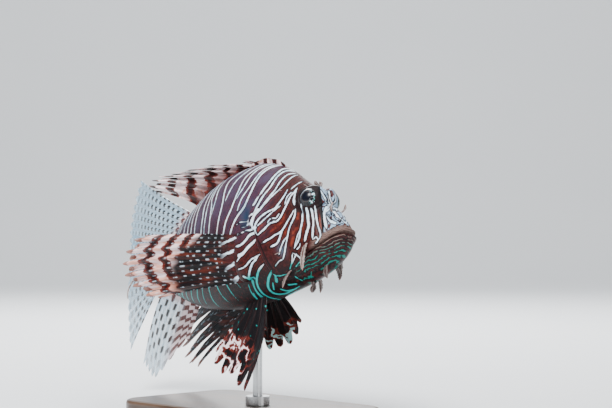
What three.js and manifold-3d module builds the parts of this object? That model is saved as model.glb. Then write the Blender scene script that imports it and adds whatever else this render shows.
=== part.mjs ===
// A life-size red lionfish held in mid-swim on a plain display stand, in millimetres, +Z up.
// The fish is laid out straight in its own frame: nose at the origin facing +X, its left side at +Y.
// "back" is the distance behind the nose, so x = -back. The tail is then swept to the left, and the
// whole fish is banked and lifted onto the stand by its group.
import * as THREE from "three";
import { mergeVertices } from "three/addons/utils/BufferGeometryUtils.js";
import Module from "manifold-3d";

const wasm = await Module();
wasm.setup();

// Driving sizes of the fish
const NOSE = 1.8; // the chin stands this far ahead of the upper lip
const NOSE_UP = -4.4; // height of the chin's tip
const TAIL_ROOT = 228; // nose to the root of the tail fin
const BEND_START = 105; // the tail sweeps to the left behind here
const BEND_ANGLE = THREE.MathUtils.degToRad(22);
const GAP = 0.3; // between touching pieces
const TINY = 0.03; // slivers that the cuts leave are merged below this

// Outlines of the body: [distance back, value]
const TOP_LINE = [[0, 5.2], [6, 12.8], [16, 22.9], [28, 33.5], [40, 41.6], [50, 48.4], [62, 54.2], [80, 57.8],
  [105, 55.5], [130, 49], [155, 39], [180, 27], [205, 17.5], [228, 14]];
const BOTTOM_LINE = [[0, -9.8], [8, -17.8], [18, -23.2], [32, -27.8], [50, -31.8], [75, -36.4], [100, -38],
  [130, -35.5], [155, -29], [180, -20], [205, -13.5], [228, -14]];
const HALF_WIDTH = [[0, 6.4], [10, 10.7], [28, 15.1], [50, 19.7], [75, 23.1], [95, 22.3], [120, 18.5],
  [150, 13], [180, 8.4], [205, 5.5], [228, 3.5]];
const WIDEST_SHARE = 0.42; // height of the widest place between belly and back
const ROOF_PINCH = 1.22; // above 1 narrows the section towards the back

// Head
const EYE = { back: 25, side: 7.7, up: 24.5, radius: 7.2, mound: 9.1 };
const MOUTH_CORNER = { back: 24, up: -12 };
const MOUTH_TIP = { back: -NOSE, up: 0.5 };
const NOSTRIL = { back: 9, up: 12.5, radius: 1.1 };
const LIP = { radius: 1.6, spread: 1.6 };
const GILL_DEPTH = 9; // the gill cover's inner face lies this far inside the widest place of the head

// Stand
const BASE = { length: 164, width: 100, height: 10, corner: 16, bevel: 2 };
const ROD = { back: 79, side: -5, radius: 3.2 };
const COLLAR = { radius: 8, height: 6 };

// The banked fish above the stand
const BANK = { pitch: 8, roll: -8 };
const FISH_AT = { x: 92, z: 124 };

const clamp = THREE.MathUtils.clamp;
const mix = THREE.MathUtils.lerp;
const radians = THREE.MathUtils.degToRad;

// A smooth line through a few points, never overshooting them. It runs on the square root of the
// distance back, which rounds the nose.
function smoothLine(points) {
  const x = points.map(([back]) => Math.sqrt(back + NOSE));
  const y = points.map(([, value]) => value);
  x.unshift(0);
  y.unshift(points === HALF_WIDTH ? 0 : NOSE_UP);
  const slope = x.slice(1).map((next, i) => (y[i + 1] - y[i]) / (next - x[i]));
  const tangent = x.map((_, i) => {
    if (i === 0) return slope[0];
    if (i === x.length - 1) return slope[i - 1];
    const [before, after] = [slope[i - 1], slope[i]];
    return before * after <= 0 ? 0 : (2 * before * after) / (before + after);
  });
  return (back) => {
    const at = Math.sqrt(clamp(back, -NOSE, TAIL_ROOT) + NOSE);
    let i = 0;
    while (i < x.length - 2 && at > x[i + 1]) i++;
    const step = x[i + 1] - x[i];
    const t = (at - x[i]) / step;
    return (2 * t ** 3 - 3 * t * t + 1) * y[i] + (t ** 3 - 2 * t * t + t) * step * tangent[i]
      + (3 * t * t - 2 * t ** 3) * y[i + 1] + (t ** 3 - t * t) * step * tangent[i + 1];
  };
}

const topAt = smoothLine(TOP_LINE);
const bottomAt = smoothLine(BOTTOM_LINE);
const halfWidthAt = smoothLine(HALF_WIDTH);

// A point of the straight body's skin. angle 0 is the left flank and a quarter turn is the back;
// grow lifts the point off the skin.
function bodyPoint(back, angle, grow = 0) {
  const [top, bottom, half] = [topAt(back), bottomAt(back), halfWidthAt(back)];
  const widest = mix(bottom, top, WIDEST_SHARE);
  const [c, s] = [Math.cos(angle), Math.sin(angle)];
  const pinch = s > 0 ? mix(1, ROOF_PINCH, s) : 1;
  const y = (half + grow) * Math.sign(c) * Math.abs(c) ** pinch;
  const z = widest + s * (s > 0 ? top - widest + grow : widest - bottom + grow);
  const ahead = grow * (1 - THREE.MathUtils.smoothstep(back, -NOSE, 24));
  return new THREE.Vector3(ahead - back, y, z);
}

// Half the body's width at a height, for placing what grows on its sides.
function sideAt(back, up) {
  const [top, bottom] = [topAt(back), bottomAt(back)];
  const widest = mix(bottom, top, WIDEST_SHARE);
  const s = clamp((up - widest) / (up > widest ? top - widest : widest - bottom), -1, 1);
  const pinch = s > 0 ? mix(1, ROOF_PINCH, s) : 1;
  return halfWidthAt(back) * Math.sqrt(1 - s * s) ** pinch;
}

// Sweeps the tail: behind BEND_START the body's axis runs on an arc to the tail root, then straight on.
function swim(point) {
  const past = -point.x - BEND_START;
  if (past <= 0) return point;
  const length = TAIL_ROOT - BEND_START;
  const radius = length / BEND_ANGLE;
  const turn = BEND_ANGLE * Math.min(past / length, 1);
  const beyond = Math.max(past - length, 0);
  const [c, s] = [Math.cos(turn), Math.sin(turn)];
  return new THREE.Vector3(
    -BEND_START - radius * s - beyond * c + point.y * s,
    radius * (1 - c) + beyond * s + point.y * c,
    point.z,
  );
}

// Solids

function solidOf(vertices, faces) {
  const mesh = () => new wasm.Mesh({
    numProp: 3,
    vertProperties: new Float32Array(vertices.flatMap((v) => [v.x, v.y, v.z])),
    triVerts: new Uint32Array(faces.flat()),
  });
  const made = new wasm.Manifold(mesh());
  if (made.volume() > 0) return made;
  faces.forEach((face) => face.reverse());
  return new wasm.Manifold(mesh());
}

function solidFromGeometry(geometry) {
  geometry.deleteAttribute("normal");
  geometry.deleteAttribute("uv");
  const merged = mergeVertices(geometry, 1e-4);
  return new wasm.Manifold(new wasm.Mesh({
    numProp: 3,
    vertProperties: merged.attributes.position.array,
    triVerts: new Uint32Array(merged.index.array),
  }));
}

function geometryOf(solid) {
  const mesh = solid.getMesh();
  return new THREE.BufferGeometry()
    .setAttribute("position", new THREE.BufferAttribute(mesh.vertProperties, 3))
    .setIndex(new THREE.BufferAttribute(mesh.triVerts, 1));
}

// The largest closed surface of a solid, without sealed hollows or loose scraps.
function largest(solid) {
  const bodies = solid.decompose();
  return bodies.reduce((best, next) => (next.volume() > best.volume() ? next : best));
}

const union = (...solids) => wasm.Manifold.union(solids);

function ball(radius, [x, y, z], stretch = [1, 1, 1], rings = 12) {
  const geometry = new THREE.SphereGeometry(radius, Math.round(rings * 1.5), rings);
  geometry.scale(...stretch).translate(x, y, z);
  return solidFromGeometry(geometry);
}

// A tube or flap along a line of points: every point has a half width across and a half thickness.
// The first ring is closed flat and the last comes to a point.
function taper(points, halfWidths, halfThick, across, sides = 6) {
  const vertices = [];
  const faces = [];
  const rings = points.length - 1;
  for (let i = 0; i < rings; i++) {
    const along = points[Math.min(i + 1, rings)].clone().sub(points[Math.max(i - 1, 0)]).normalize();
    const wide = across.clone().addScaledVector(along, -across.dot(along)).normalize();
    const thin = wide.clone().cross(along);
    for (let k = 0; k < sides; k++) {
      const a = (2 * Math.PI * k) / sides;
      vertices.push(points[i].clone()
        .addScaledVector(wide, Math.cos(a) * halfWidths[i])
        .addScaledVector(thin, Math.sin(a) * halfThick * (1 - (0.5 * i) / rings)));
    }
  }
  const [foot, tip] = [vertices.length, vertices.length + 1];
  vertices.push(points[0].clone(), points[rings].clone());
  for (let k = 0; k < sides; k++) {
    const next = (k + 1) % sides;
    faces.push([foot, next, k]);
    for (let i = 0; i < rings - 1; i++) {
      const [a, b] = [i * sides + k, i * sides + next];
      faces.push([a, b, b + sides], [a, b + sides, a + sides]);
    }
    const last = (rings - 1) * sides;
    faces.push([last + k, last + next, tip]);
  }
  return solidOf(vertices, faces);
}

// A fin: one closed sheet whose rays stand out as ridges. point(t, s) is its middle surface, with t
// from the first ray to the last and s from the root to a ray's tip. Between two rays the sheet stops
// at webReach of their length, and a strap of membrane edges each ray as far as strapReach.
function finSheet({ rays, rows, point, strap = 0, strapReach = 0.93, webReach, ridge, web, pleat = 0 }) {
  const columns = [];
  const webSteps = Math.round(webReach * rows);
  for (let ray = 0; ray < rays; ray++) {
    columns.push({ across: ray, reach: 1, steps: rows, half: ridge / 2, fold: ray % 2 ? pleat : -pleat });
    if (ray === rays - 1) break;
    const between = { half: web / 2, fold: 0 };
    if (strap) columns.push({ across: ray + strap, reach: strapReach, steps: rows, ...between });
    columns.push({ across: ray + 0.5, reach: webReach, steps: webSteps, ...between });
    if (strap) columns.push({ across: ray + 1 - strap, reach: strapReach, steps: rows, ...between });
  }
  const [small, last] = [1e-3, rays - 1];
  const faceOf = (sign) => columns.flatMap(({ across, reach, steps, half, fold }) =>
    Array.from({ length: steps + 1 }, (_, row) => {
      const [t, s] = [across / last, (reach * row) / steps];
      const middle = point(t, s);
      const along = point(t, s + small).sub(point(t, Math.max(s - small, 0)));
      const over = point(Math.min(t + small, 1), s + small).sub(point(Math.max(t - small, 0), s + small));
      const normal = along.cross(over).normalize();
      return middle.addScaledVector(normal, fold * s + sign * Math.max(half * (1 - 0.6 * s), 0.25));
    }));
  const front = faceOf(1);
  const vertices = [...front, ...faceOf(-1)].map(swim);
  const faces = [];
  const steps = columns.map((column) => column.steps);
  const starts = steps.map((_, c) => steps.slice(0, c).reduce((sum, count) => sum + count + 1, 0));
  const at = (column, row) => starts[column] + row;
  for (let c = 0; c < columns.length - 1; c++) {
    for (let row = 0; row < Math.min(steps[c], steps[c + 1]); row++) {
      const corners = [at(c, row), at(c + 1, row), at(c + 1, row + 1), at(c, row + 1)];
      const [a, b, d, e] = c % 2 ? corners : [corners[1], corners[2], corners[3], corners[0]];
      faces.push([a, b, d], [a, d, e]);
      faces.push([a, d, b].map((v) => v + front.length), [a, e, d].map((v) => v + front.length));
    }
  }
  const rim = [];
  for (let row = 0; row < rows; row++) rim.push(at(0, row));
  for (let c = 0; c < columns.length - 1; c++) {
    rim.push(at(c, steps[c]));
    for (let row = steps[c] - 1; row >= steps[c + 1]; row--) rim.push(at(c, row));
    for (let row = steps[c]; row < steps[c + 1]; row++) rim.push(at(c + 1, row));
  }
  for (let row = rows; row > 0; row--) rim.push(at(columns.length - 1, row));
  for (let c = columns.length - 1; c > 0; c--) rim.push(at(c, 0));
  rim.forEach((a, i) => {
    const b = rim[(i + 1) % rim.length];
    faces.push([a, b, b + front.length], [a, b + front.length, a + front.length]);
  });
  return solidOf(vertices, faces);
}

// The body, whole

const RINGS = 46; // lengthways steps of the body
const SIDES = 30; // steps round the body

function bodyLoft(grow) {
  const rows = Array.from({ length: RINGS }, (_, i) => {
    const share = (i + 1) / RINGS;
    return -NOSE + (TAIL_ROOT + NOSE) * share ** 1.55;
  });
  const vertices = rows.flatMap((back, i) => Array.from({ length: SIDES }, (_, k) => {
    const point = bodyPoint(back, (2 * Math.PI * k) / SIDES, grow);
    if (i === RINGS - 1) point.x -= grow;
    return swim(point);
  }));
  const nose = new THREE.Vector3(NOSE + grow, 0, NOSE_UP);
  const tail = swim(new THREE.Vector3(-TAIL_ROOT - grow, 0, 0));
  vertices.push(nose, tail);
  const [first, end] = [vertices.length - 2, (RINGS - 1) * SIDES];
  const faces = [];
  for (let k = 0; k < SIDES; k++) {
    const next = (k + 1) % SIDES;
    faces.push([first, k, next], [first + 1, end + next, end + k]);
    for (let i = 0; i < RINGS - 1; i++) {
      const [a, b] = [i * SIDES + k, i * SIDES + next];
      faces.push([a, a + SIDES, b + SIDES], [a, b + SIDES, b]);
    }
  }
  return solidOf(vertices, faces);
}

// The mound of the eye socket, and the fleshy foot of each breast fin
const socketMound = (side, grow) => ball(EYE.mound + grow,
  [-EYE.back - 0.5, side * (EYE.side - 2.8), EYE.up], [1.08, 0.9, 0.97]);
const finFoot = (side, grow) => ball(15 + grow,
  [-PECTORAL.back - 1, side * (sideAt(PECTORAL.back, -9) - 2.5), -9], [0.6, 0.36, 1.08], 10);

// The height of the mouth's cut, seen from the side
const mouthUp = (back) =>
  mix(MOUTH_TIP.up, MOUTH_CORNER.up, (back - MOUTH_TIP.back) / (MOUTH_CORNER.back - MOUTH_TIP.back));

// Where the mouth line crosses the skin, from the right corner over the front to the left corner
function mouthLine(steps) {
  let front = MOUTH_TIP.back;
  while (topAt(front) < mouthUp(front)) front += 0.02;
  return Array.from({ length: 2 * steps + 1 }, (_, i) => {
    const share = (i - steps) / steps;
    const back = mix(front, MOUTH_CORNER.back - 0.5, Math.abs(share) ** 1.8);
    return new THREE.Vector3(-back, Math.sign(share) * sideAt(back, mouthUp(back)), mouthUp(back));
  });
}

function lipTube(offset, radius) {
  const line = mouthLine(9).map((p) => new THREE.Vector3(p.x - 1.7, p.y * 0.93, p.z + offset));
  const sizes = line.map((_, i) => radius * (0.45 + 0.55 * Math.sin((Math.PI * i) / (line.length - 1))));
  return taper(line, sizes, radius, new THREE.Vector3(0, 0, 1), 6);
}

// Fins

// The breast fins fold back along the flanks. The left one hangs lower than the right.
const PECTORAL = { back: 73, low: -24, high: 6, rays: 13 };
const BREAST_RIGHT = { longest: 108, lift: 7.5, droop: 1, outward: 12 };
const BREAST_LEFT = { longest: 160, lift: -4, droop: 18, outward: 4 };

function pectoral(side, { longest, lift, droop, outward }) {
  return ({
    rays: PECTORAL.rays,
    rows: 6,
    point: (t, s) => {
      const length = longest * (0.74 + 0.34 * Math.sin(Math.PI * (t * 0.8 + 0.12)));
      const up = mix(PECTORAL.high, PECTORAL.low, t);
      const back = PECTORAL.back + 3 - 5 * t;
      const root = new THREE.Vector3(-back, side * (sideAt(back, up) - 1.5), up);
      const rise = radians(mix(lift, -droop, t));
      const out = radians(outward * (1 - 0.35 * s));
      const reach = s * length;
      return root.add(new THREE.Vector3(
        -Math.cos(rise) * Math.cos(out) * reach,
        side * Math.sin(out) * reach,
        Math.sin(rise) * reach - 2 * s * s * t,
      ));
    },
    strap: 0.3,
    strapReach: 0.94,
    webReach: 0.62,
    ridge: 2,
    web: 1.1,
    pleat: 2.2,
  });
}

// The belly fins hang down and splay apart. Each ray's length is a share of the longest one's.
const PELVIC = { back: 69, side: 7, rays: 6 };
const BELLY_RIGHT = {
  longest: 67, shares: [1, 0.93, 0.82, 0.85, 0.79, 0.68], splay: 12, spread: 0.6, front: 88, sweep: 46, bow: 5,
};
const BELLY_LEFT = {
  longest: 43, shares: [0.6, 0.85, 0.95, 1, 0.98, 0.9], splay: 56, spread: 0.8, front: 80, sweep: 52, bow: 3,
};

function pelvic(side, { longest, shares, splay, spread, front, sweep, bow }) {
  const shareAt = (t) => {
    const along = clamp(t, 0, 1) * (PELVIC.rays - 1);
    const ray = Math.min(Math.floor(along), PELVIC.rays - 2);
    return mix(shares[ray], shares[ray + 1], along - ray);
  };
  return ({
    rays: PELVIC.rays,
    rows: 6,
    point: (t, s) => {
      const length = longest * shareAt(t);
      const back = PELVIC.back + 16 * t;
      const root = new THREE.Vector3(-back, side * (PELVIC.side - 2 * t), bottomAt(back) + 5);
      const down = radians(mix(front, sweep, t));
      const out = radians(splay * (1 - t * 0.5)) * mix(spread, 1, s);
      return root.add(new THREE.Vector3(
        -Math.cos(down) * s * length + bow * Math.sin(Math.PI * s) * (1 - t),
        side * Math.sin(out) * s * length,
        -Math.sin(down) * Math.cos(out) * s * length,
      ));
    },
    strap: 0.32,
    strapReach: 0.95,
    webReach: 0.8,
    ridge: 1.9,
    web: 1.0,
    pleat: 0.9,
  });
}

// Thirteen spines fold back low over the body, each edged with its own strap of membrane. They rise
// steeply out of the back and flatten towards their tips, which lie on one line that climbs slowly
// towards the tail, so no spine crosses the next.
const SPINES = { first: 60, last: 150, count: 13, flatten: 0.75 };
const SPINE_TIPS = { back: 97, spread: 123, crowding: 2.2, up: 60.8, rise: 10, drop: 4.5 };

const spinyDorsal = {
  rays: SPINES.count,
  rows: 7,
  point: (t, s) => {
    const back = mix(SPINES.first, SPINES.last, t);
    const spread = 1 - (1 - t) ** SPINE_TIPS.crowding;
    const tipBack = SPINE_TIPS.back + SPINE_TIPS.spread * spread;
    const tipUp = SPINE_TIPS.up + SPINE_TIPS.rise * spread ** 0.8 - SPINE_TIPS.drop * t ** 6;
    return new THREE.Vector3(
      -mix(back, tipBack, s),
      -(2 + 5 * t) * s,
      mix(topAt(back) - 3.5, tipUp, Math.max(s, 0) ** SPINES.flatten),
    );
  },
  strap: 0.32,
  strapReach: 0.96,
  webReach: 0.42,
  ridge: 2.6,
  web: 1.2,
  pleat: 2.6,
};

const softDorsal = {
  rays: 11,
  rows: 5,
  point: (t, s) => {
    const back = mix(158, 203, t);
    const length = 95 + 4 * Math.sin(Math.PI * t) - 30 * t * t;
    const rise = radians(mix(20, 1, t));
    return new THREE.Vector3(
      -back - Math.cos(rise) * s * length,
      -8 * s,
      topAt(back) - 3 + Math.sin(rise) * s * length + 3 * s,
    );
  },
  webReach: 0.93,
  ridge: 1.8,
  web: 0.9,
};

const anal = {
  rays: 9,
  rows: 5,
  point: (t, s) => {
    const back = mix(148, 205, t);
    const length = 26 + 46 * THREE.MathUtils.smoothstep(t, -0.05, 0.6) - 4 * t ** 4;
    const fall = radians(mix(56, 44, t));
    return new THREE.Vector3(
      -back - Math.cos(fall) * s * length - 6 * t * Math.sin(Math.PI * s),
      0,
      bottomAt(back) + 3 - Math.sin(fall) * s * length - 3 * s,
    );
  },
  webReach: 0.92,
  ridge: 1.9,
  web: 0.9,
};

const caudal = {
  rays: 12,
  rows: 5,
  point: (t, s) => {
    const fan = radians(mix(28, -28, t));
    const length = 77 + 4 * Math.cos(fan * 2);
    return new THREE.Vector3(
      -TAIL_ROOT + 7 - Math.cos(fan * s ** 0.4) * s * length,
      0,
      mix(10, -10, t) + Math.sin(fan) * s * length,
    );
  },
  webReach: 0.95,
  ridge: 1.9,
  web: 0.9,
};

// Flaps of skin and head spines. Each is a root on the side of the head, a reach and a width.
const FLAPS = {
  head: [
    { back: 25, up: 33, out: -1, reach: [-2, 2, 8], width: 1.7 }, // brow
    { back: 10, up: 14.5, out: -1, reach: [3, 2, 6], width: 1.2 }, // nostril
    { back: 24, up: -5, out: -1.4, reach: [1, 4, -16], width: 2.1 }, // corner of the mouth
    { back: 39, up: -20, out: -1.4, reach: [-3, 5, -12], width: 1.8 }, // cheek
  ],
  lower_jaw: [
    { back: 14, up: -19, out: -1.6, reach: [3, 1, -11], width: 2.2 }, // chin
    { back: 30, up: -27.5, out: -1.6, reach: [-2, 2, -7], width: 1.6 }, // throat
  ],
};
const HEAD_SPINES = [
  { back: 33, up: 34, reach: [-6, 1, 2.5], width: 1.3 },
  { back: 17, up: 22, reach: [-4, 1, 3.5], width: 1.1 },
  { back: 46, up: 32, reach: [-5.5, 2.5, 0.5], width: 1.2 },
  { back: 42, up: -8, reach: [-5, 3, -2], width: 1.3 },
];

function flap(side, { back, up, out = -1.5, reach, width }, curl = 1.5) {
  const root = new THREE.Vector3(-back, side * (sideAt(back, up) + out), up);
  const points = [0, 0.3, 0.62, 0.85, 1].map((s) => new THREE.Vector3(
    root.x + reach[0] * s,
    root.y + side * (reach[1] * s + curl * Math.sin(Math.PI * s)),
    root.z + reach[2] * s,
  ));
  const widths = [width * 0.8, width, width * 1.15, width * 0.8, 0];
  return taper(points, widths, 0.8, new THREE.Vector3(1, 0, 0.3), 6);
}

// Thin cuts that part the body into its named pieces. Each outline is [distance back, height], seen
// from the side; a zone is the space inside it, drawn in or let out by half the gap.
const HEAD_ZONE = [[-20, 80], [55, 80], [56, 46], [60, 34], [60, 8], [52, -12], [42, -34], [40, -70], [-20, -70]];
const JAW_ZONE = [[-20, mouthUp(-20)], [MOUTH_CORNER.back, MOUTH_CORNER.up], [33, -23], [36, -60], [-20, -60]];
const GILL_ZONE = [[46, 23], [55, 26], [64, 19], [70.5, 9], [68, -4], [61, -17], [51, -28], [42, -30.5], [45, -18],
  [43, -4]];
const TAIL_ZONE = [[186, 60], [TAIL_ROOT + 40, 60], [TAIL_ROOT + 40, -60], [186, -60]];

function letOut(outline, distance) {
  const points = outline.map(([back, up]) => new THREE.Vector2(-back, up));
  const sign = THREE.ShapeUtils.isClockWise(points) ? -1 : 1;
  return points.map((point, i) => {
    const before = point.clone().sub(points.at(i - 1)).normalize();
    const after = points[(i + 1) % points.length].clone().sub(point).normalize();
    const normals = [before, after].map((edge) => new THREE.Vector2(edge.y, -edge.x));
    const mitre = normals[0].clone().add(normals[1]).normalize();
    return point.clone().addScaledVector(mitre, (sign * distance) / mitre.dot(normals[0]));
  });
}

// The prism over an outline, between two distances from the middle plane
function zone(outline, distance, from = -80, to = 80) {
  const geometry = new THREE.ExtrudeGeometry(new THREE.Shape(letOut(outline, distance)),
    { depth: to - from, bevelEnabled: false, steps: 1 });
  geometry.rotateX(Math.PI / 2).translate(0, to, 0);
  return solidFromGeometry(geometry);
}

const gillZone = (side, distance) => {
  const inner = halfWidthAt(62) - GILL_DEPTH - distance;
  return side > 0 ? zone(GILL_ZONE, distance, inner, 80) : zone(GILL_ZONE, distance, -80, -inner);
};

const wholeBody = (grow) => union(bodyLoft(grow), ...[1, -1].flatMap((side) =>
  [socketMound(side, grow), finFoot(side, grow)]));

// Materials

const finish = (color, roughness = 0.45) => new THREE.MeshStandardMaterial({ color, roughness, metalness: 0 });
const RUSSET = finish("#5b2721");
const BANDED = finish("#8a4a3c");
const CLEAR_FIN = finish("#b9cfdc");
const DARK_FIN = finish("#231518");
const EYE_BLACK = finish("#0c1016", 0.15);
const WOOD = finish("#2a211c", 0.5);
const STEEL = new THREE.MeshStandardMaterial({ color: "#b9bdc1", roughness: 0.3, metalness: 1 });

// The fish

const fish = new THREE.Group();
fish.rotation.set(radians(BANK.roll), radians(-BANK.pitch), 0, "YXZ");
fish.position.set(FISH_AT.x, 0, FISH_AT.z);
fish.updateMatrix();

function addTo(group, name, solid, material) {
  const mesh = new THREE.Mesh(geometryOf(solid.asOriginal().simplify(TINY)), material);
  mesh.name = name;
  group.add(mesh);
}

const half = GAP / 2;
const sides = [["left", 1], ["right", -1]];
const lips = (grow) => union(...[1, -1].map((edge) => lipTube(edge * LIP.spread, LIP.radius + grow)));
const body = union(wholeBody(0), lips(0));
const bodyGrown = union(wholeBody(GAP), lips(GAP));
const gillsOut = union(gillZone(1, half), gillZone(-1, half));
const jawOut = zone(JAW_ZONE, half);
const eyeHollows = union(...sides.map(([, side]) =>
  ball(EYE.radius + GAP, [-EYE.back, side * EYE.side, EYE.up], [1, 1, 1], 12)));

// Sets flaps and spines on a piece of flesh, kept clear of the other pieces
function dressed(piece, extras, others) {
  return extras.length ? largest(union(piece, union(...extras).subtract(others))) : piece;
}

const both = (list, make) => sides.flatMap(([, side]) => list.map((item) => make(side, item)));
const jawBody = body.intersect(zone(JAW_ZONE, -half));
const nostrils = union(...sides.map(([, side]) =>
  ball(NOSTRIL.radius, [-NOSTRIL.back, side * sideAt(NOSTRIL.back, NOSTRIL.up), NOSTRIL.up], [1, 1, 1], 6)));
const headBody = body.intersect(zone(HEAD_ZONE, -half)).subtract(union(jawOut, gillsOut, eyeHollows, nostrils));
const notHead = bodyGrown.intersect(union(jawOut, gillsOut)).add(bodyGrown.subtract(zone(HEAD_ZONE, -half)));
const headExtras = [...both(FLAPS.head, flap), ...both(HEAD_SPINES, (side, spine) => flap(side, spine, 0))];
addTo(fish, "head", dressed(headBody, headExtras, union(notHead, eyeHollows)), RUSSET);
const notJaw = bodyGrown.subtract(zone(JAW_ZONE, -half));
addTo(fish, "lower_jaw", dressed(jawBody, both(FLAPS.lower_jaw, flap), notJaw), RUSSET);
for (const [name, side] of sides) {
  addTo(fish, "gill_cover_" + name, largest(body.intersect(gillZone(side, -half))), RUSSET);
  addTo(fish, "eye_" + name, ball(EYE.radius, [-EYE.back, side * EYE.side, EYE.up], [1, 1, 1], 12), EYE_BLACK);
}
const trunk = body.subtract(zone(HEAD_ZONE, half)).subtract(gillsOut).subtract(zone(TAIL_ZONE, half));
addTo(fish, "trunk", largest(trunk), RUSSET);
addTo(fish, "tail_base", largest(body.intersect(zone(TAIL_ZONE, -half))), RUSSET);

const onBody = (sheet) => largest(finSheet(sheet).subtract(bodyGrown));
addTo(fish, "spiny_dorsal_fin", onBody(spinyDorsal), BANDED);
addTo(fish, "soft_dorsal_fin", onBody(softDorsal), CLEAR_FIN);
addTo(fish, "anal_fin", onBody(anal), CLEAR_FIN);
addTo(fish, "tail_fin", onBody(caudal), CLEAR_FIN);
addTo(fish, "breast_fin_right", onBody(pectoral(-1, BREAST_RIGHT)), BANDED);
addTo(fish, "breast_fin_left", onBody(pectoral(1, BREAST_LEFT)), BANDED);
addTo(fish, "belly_fin_right", onBody(pelvic(-1, BELLY_RIGHT)), DARK_FIN);
addTo(fish, "belly_fin_left", onBody(pelvic(1, BELLY_LEFT)), DARK_FIN);

// The stand

const stand = new THREE.Group();
const bodyInPlace = bodyGrown.transform(fish.matrix.elements);

function baseOutline({ length, width, corner }) {
  const [x, y] = [length / 2, width / 2];
  const shape = new THREE.Shape();
  shape.moveTo(x - corner, -y).absarc(x - corner, corner - y, corner, -Math.PI / 2, 0)
    .absarc(x - corner, y - corner, corner, 0, Math.PI / 2)
    .absarc(corner - x, y - corner, corner, Math.PI / 2, Math.PI)
    .absarc(corner - x, corner - y, corner, Math.PI, 1.5 * Math.PI);
  return shape;
}

function standBase() {
  const inset = { length: BASE.length - 2 * BASE.bevel, width: BASE.width - 2 * BASE.bevel, corner: BASE.corner };
  const geometry = new THREE.ExtrudeGeometry(baseOutline(inset), {
    depth: BASE.height - BASE.bevel, bevelSize: BASE.bevel, bevelThickness: BASE.bevel,
    bevelSegments: 2, steps: 1, curveSegments: 5,
  });
  const flatFoot = new THREE.BoxGeometry(2 * BASE.length, 2 * BASE.length, 2 * BASE.bevel + 2);
  flatFoot.translate(0, 0, -BASE.bevel - 1);
  return solidFromGeometry(geometry).subtract(solidFromGeometry(flatFoot));
}

function upright(radius, from, to, segments) {
  const geometry = new THREE.CylinderGeometry(radius, radius, to - from, segments);
  geometry.rotateX(Math.PI / 2).translate(FISH_AT.x - ROD.back, ROD.side, (from + to) / 2);
  return solidFromGeometry(geometry);
}

const rod = upright(ROD.radius, BASE.height + GAP, FISH_AT.z, 20).subtract(bodyInPlace);
const collar = upright(COLLAR.radius, BASE.height + GAP, BASE.height + COLLAR.height, 28)
  .subtract(upright(ROD.radius + GAP, 0, FISH_AT.z, 20));
addTo(stand, "stand_base", standBase(), WOOD);
addTo(stand, "stand_rod", largest(rod), STEEL);
addTo(stand, "stand_collar", collar, STEEL);

const lionfish = new THREE.Group();
lionfish.add(fish, stand);
export default lionfish;
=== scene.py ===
import math

import bpy
import numpy as np
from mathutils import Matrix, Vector


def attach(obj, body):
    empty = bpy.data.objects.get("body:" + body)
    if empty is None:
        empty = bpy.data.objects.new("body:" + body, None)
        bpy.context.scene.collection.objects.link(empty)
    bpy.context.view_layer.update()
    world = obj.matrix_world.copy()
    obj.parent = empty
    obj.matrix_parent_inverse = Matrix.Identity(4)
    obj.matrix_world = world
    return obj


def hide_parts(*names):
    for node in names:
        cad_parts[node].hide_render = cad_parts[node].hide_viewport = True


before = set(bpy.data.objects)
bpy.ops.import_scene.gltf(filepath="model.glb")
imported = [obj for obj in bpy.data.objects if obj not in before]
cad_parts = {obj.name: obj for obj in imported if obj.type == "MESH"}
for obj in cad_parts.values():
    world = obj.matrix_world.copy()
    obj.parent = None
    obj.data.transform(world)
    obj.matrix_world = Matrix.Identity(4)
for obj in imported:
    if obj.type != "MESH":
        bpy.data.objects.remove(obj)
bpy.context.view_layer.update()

chance = np.random.default_rng(7)

# Driving sizes of the fish, as in its solids
NOSE = 1.8
NOSE_UP = -4.4
TAIL_ROOT = 228
BEND_START = 105
BEND_ANGLE = math.radians(22)
TOP_LINE = [[0, 5.2], [6, 12.8], [16, 22.9], [28, 33.5], [40, 41.6], [50, 48.4], [62, 54.2], [80, 57.8],
            [105, 55.5], [130, 49], [155, 39], [180, 27], [205, 17.5], [228, 14]]
BOTTOM_LINE = [[0, -9.8], [8, -17.8], [18, -23.2], [32, -27.8], [50, -31.8], [75, -36.4], [100, -38],
               [130, -35.5], [155, -29], [180, -20], [205, -13.5], [228, -14]]
HALF_WIDTH = [[0, 6.4], [10, 10.7], [28, 15.1], [50, 19.7], [75, 23.1], [95, 22.3], [120, 18.5],
              [150, 13], [180, 8.4], [205, 5.5], [228, 3.5]]
WIDEST_SHARE = 0.42
ROOF_PINCH = 1.22
EYE = dict(back=25, side=7.7, up=24.5, radius=7.2, mound=9.1, ahead=0.3, above=0.12)
MOUTH_CORNER = dict(back=24, up=-12)
MOUTH_TIP = dict(back=-NOSE, up=0.5)
NOSTRIL = dict(back=9, up=12.5)
FIN_FOOT = dict(back=74, up=-9, radius=(9, 5.4, 16.2))
BANK = dict(pitch=math.radians(8), roll=math.radians(-8))
FISH_AT = (92, 0, 124)
MM = 0.001

# Camera: level, at the photograph's angle to the fish
CAMERA_AT = (0.904, -0.8007, 0.1426)
CAMERA_TURN = math.radians(46.7)
CAMERA_LENS = 106.4
SENSOR_WIDTH = 36

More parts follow.
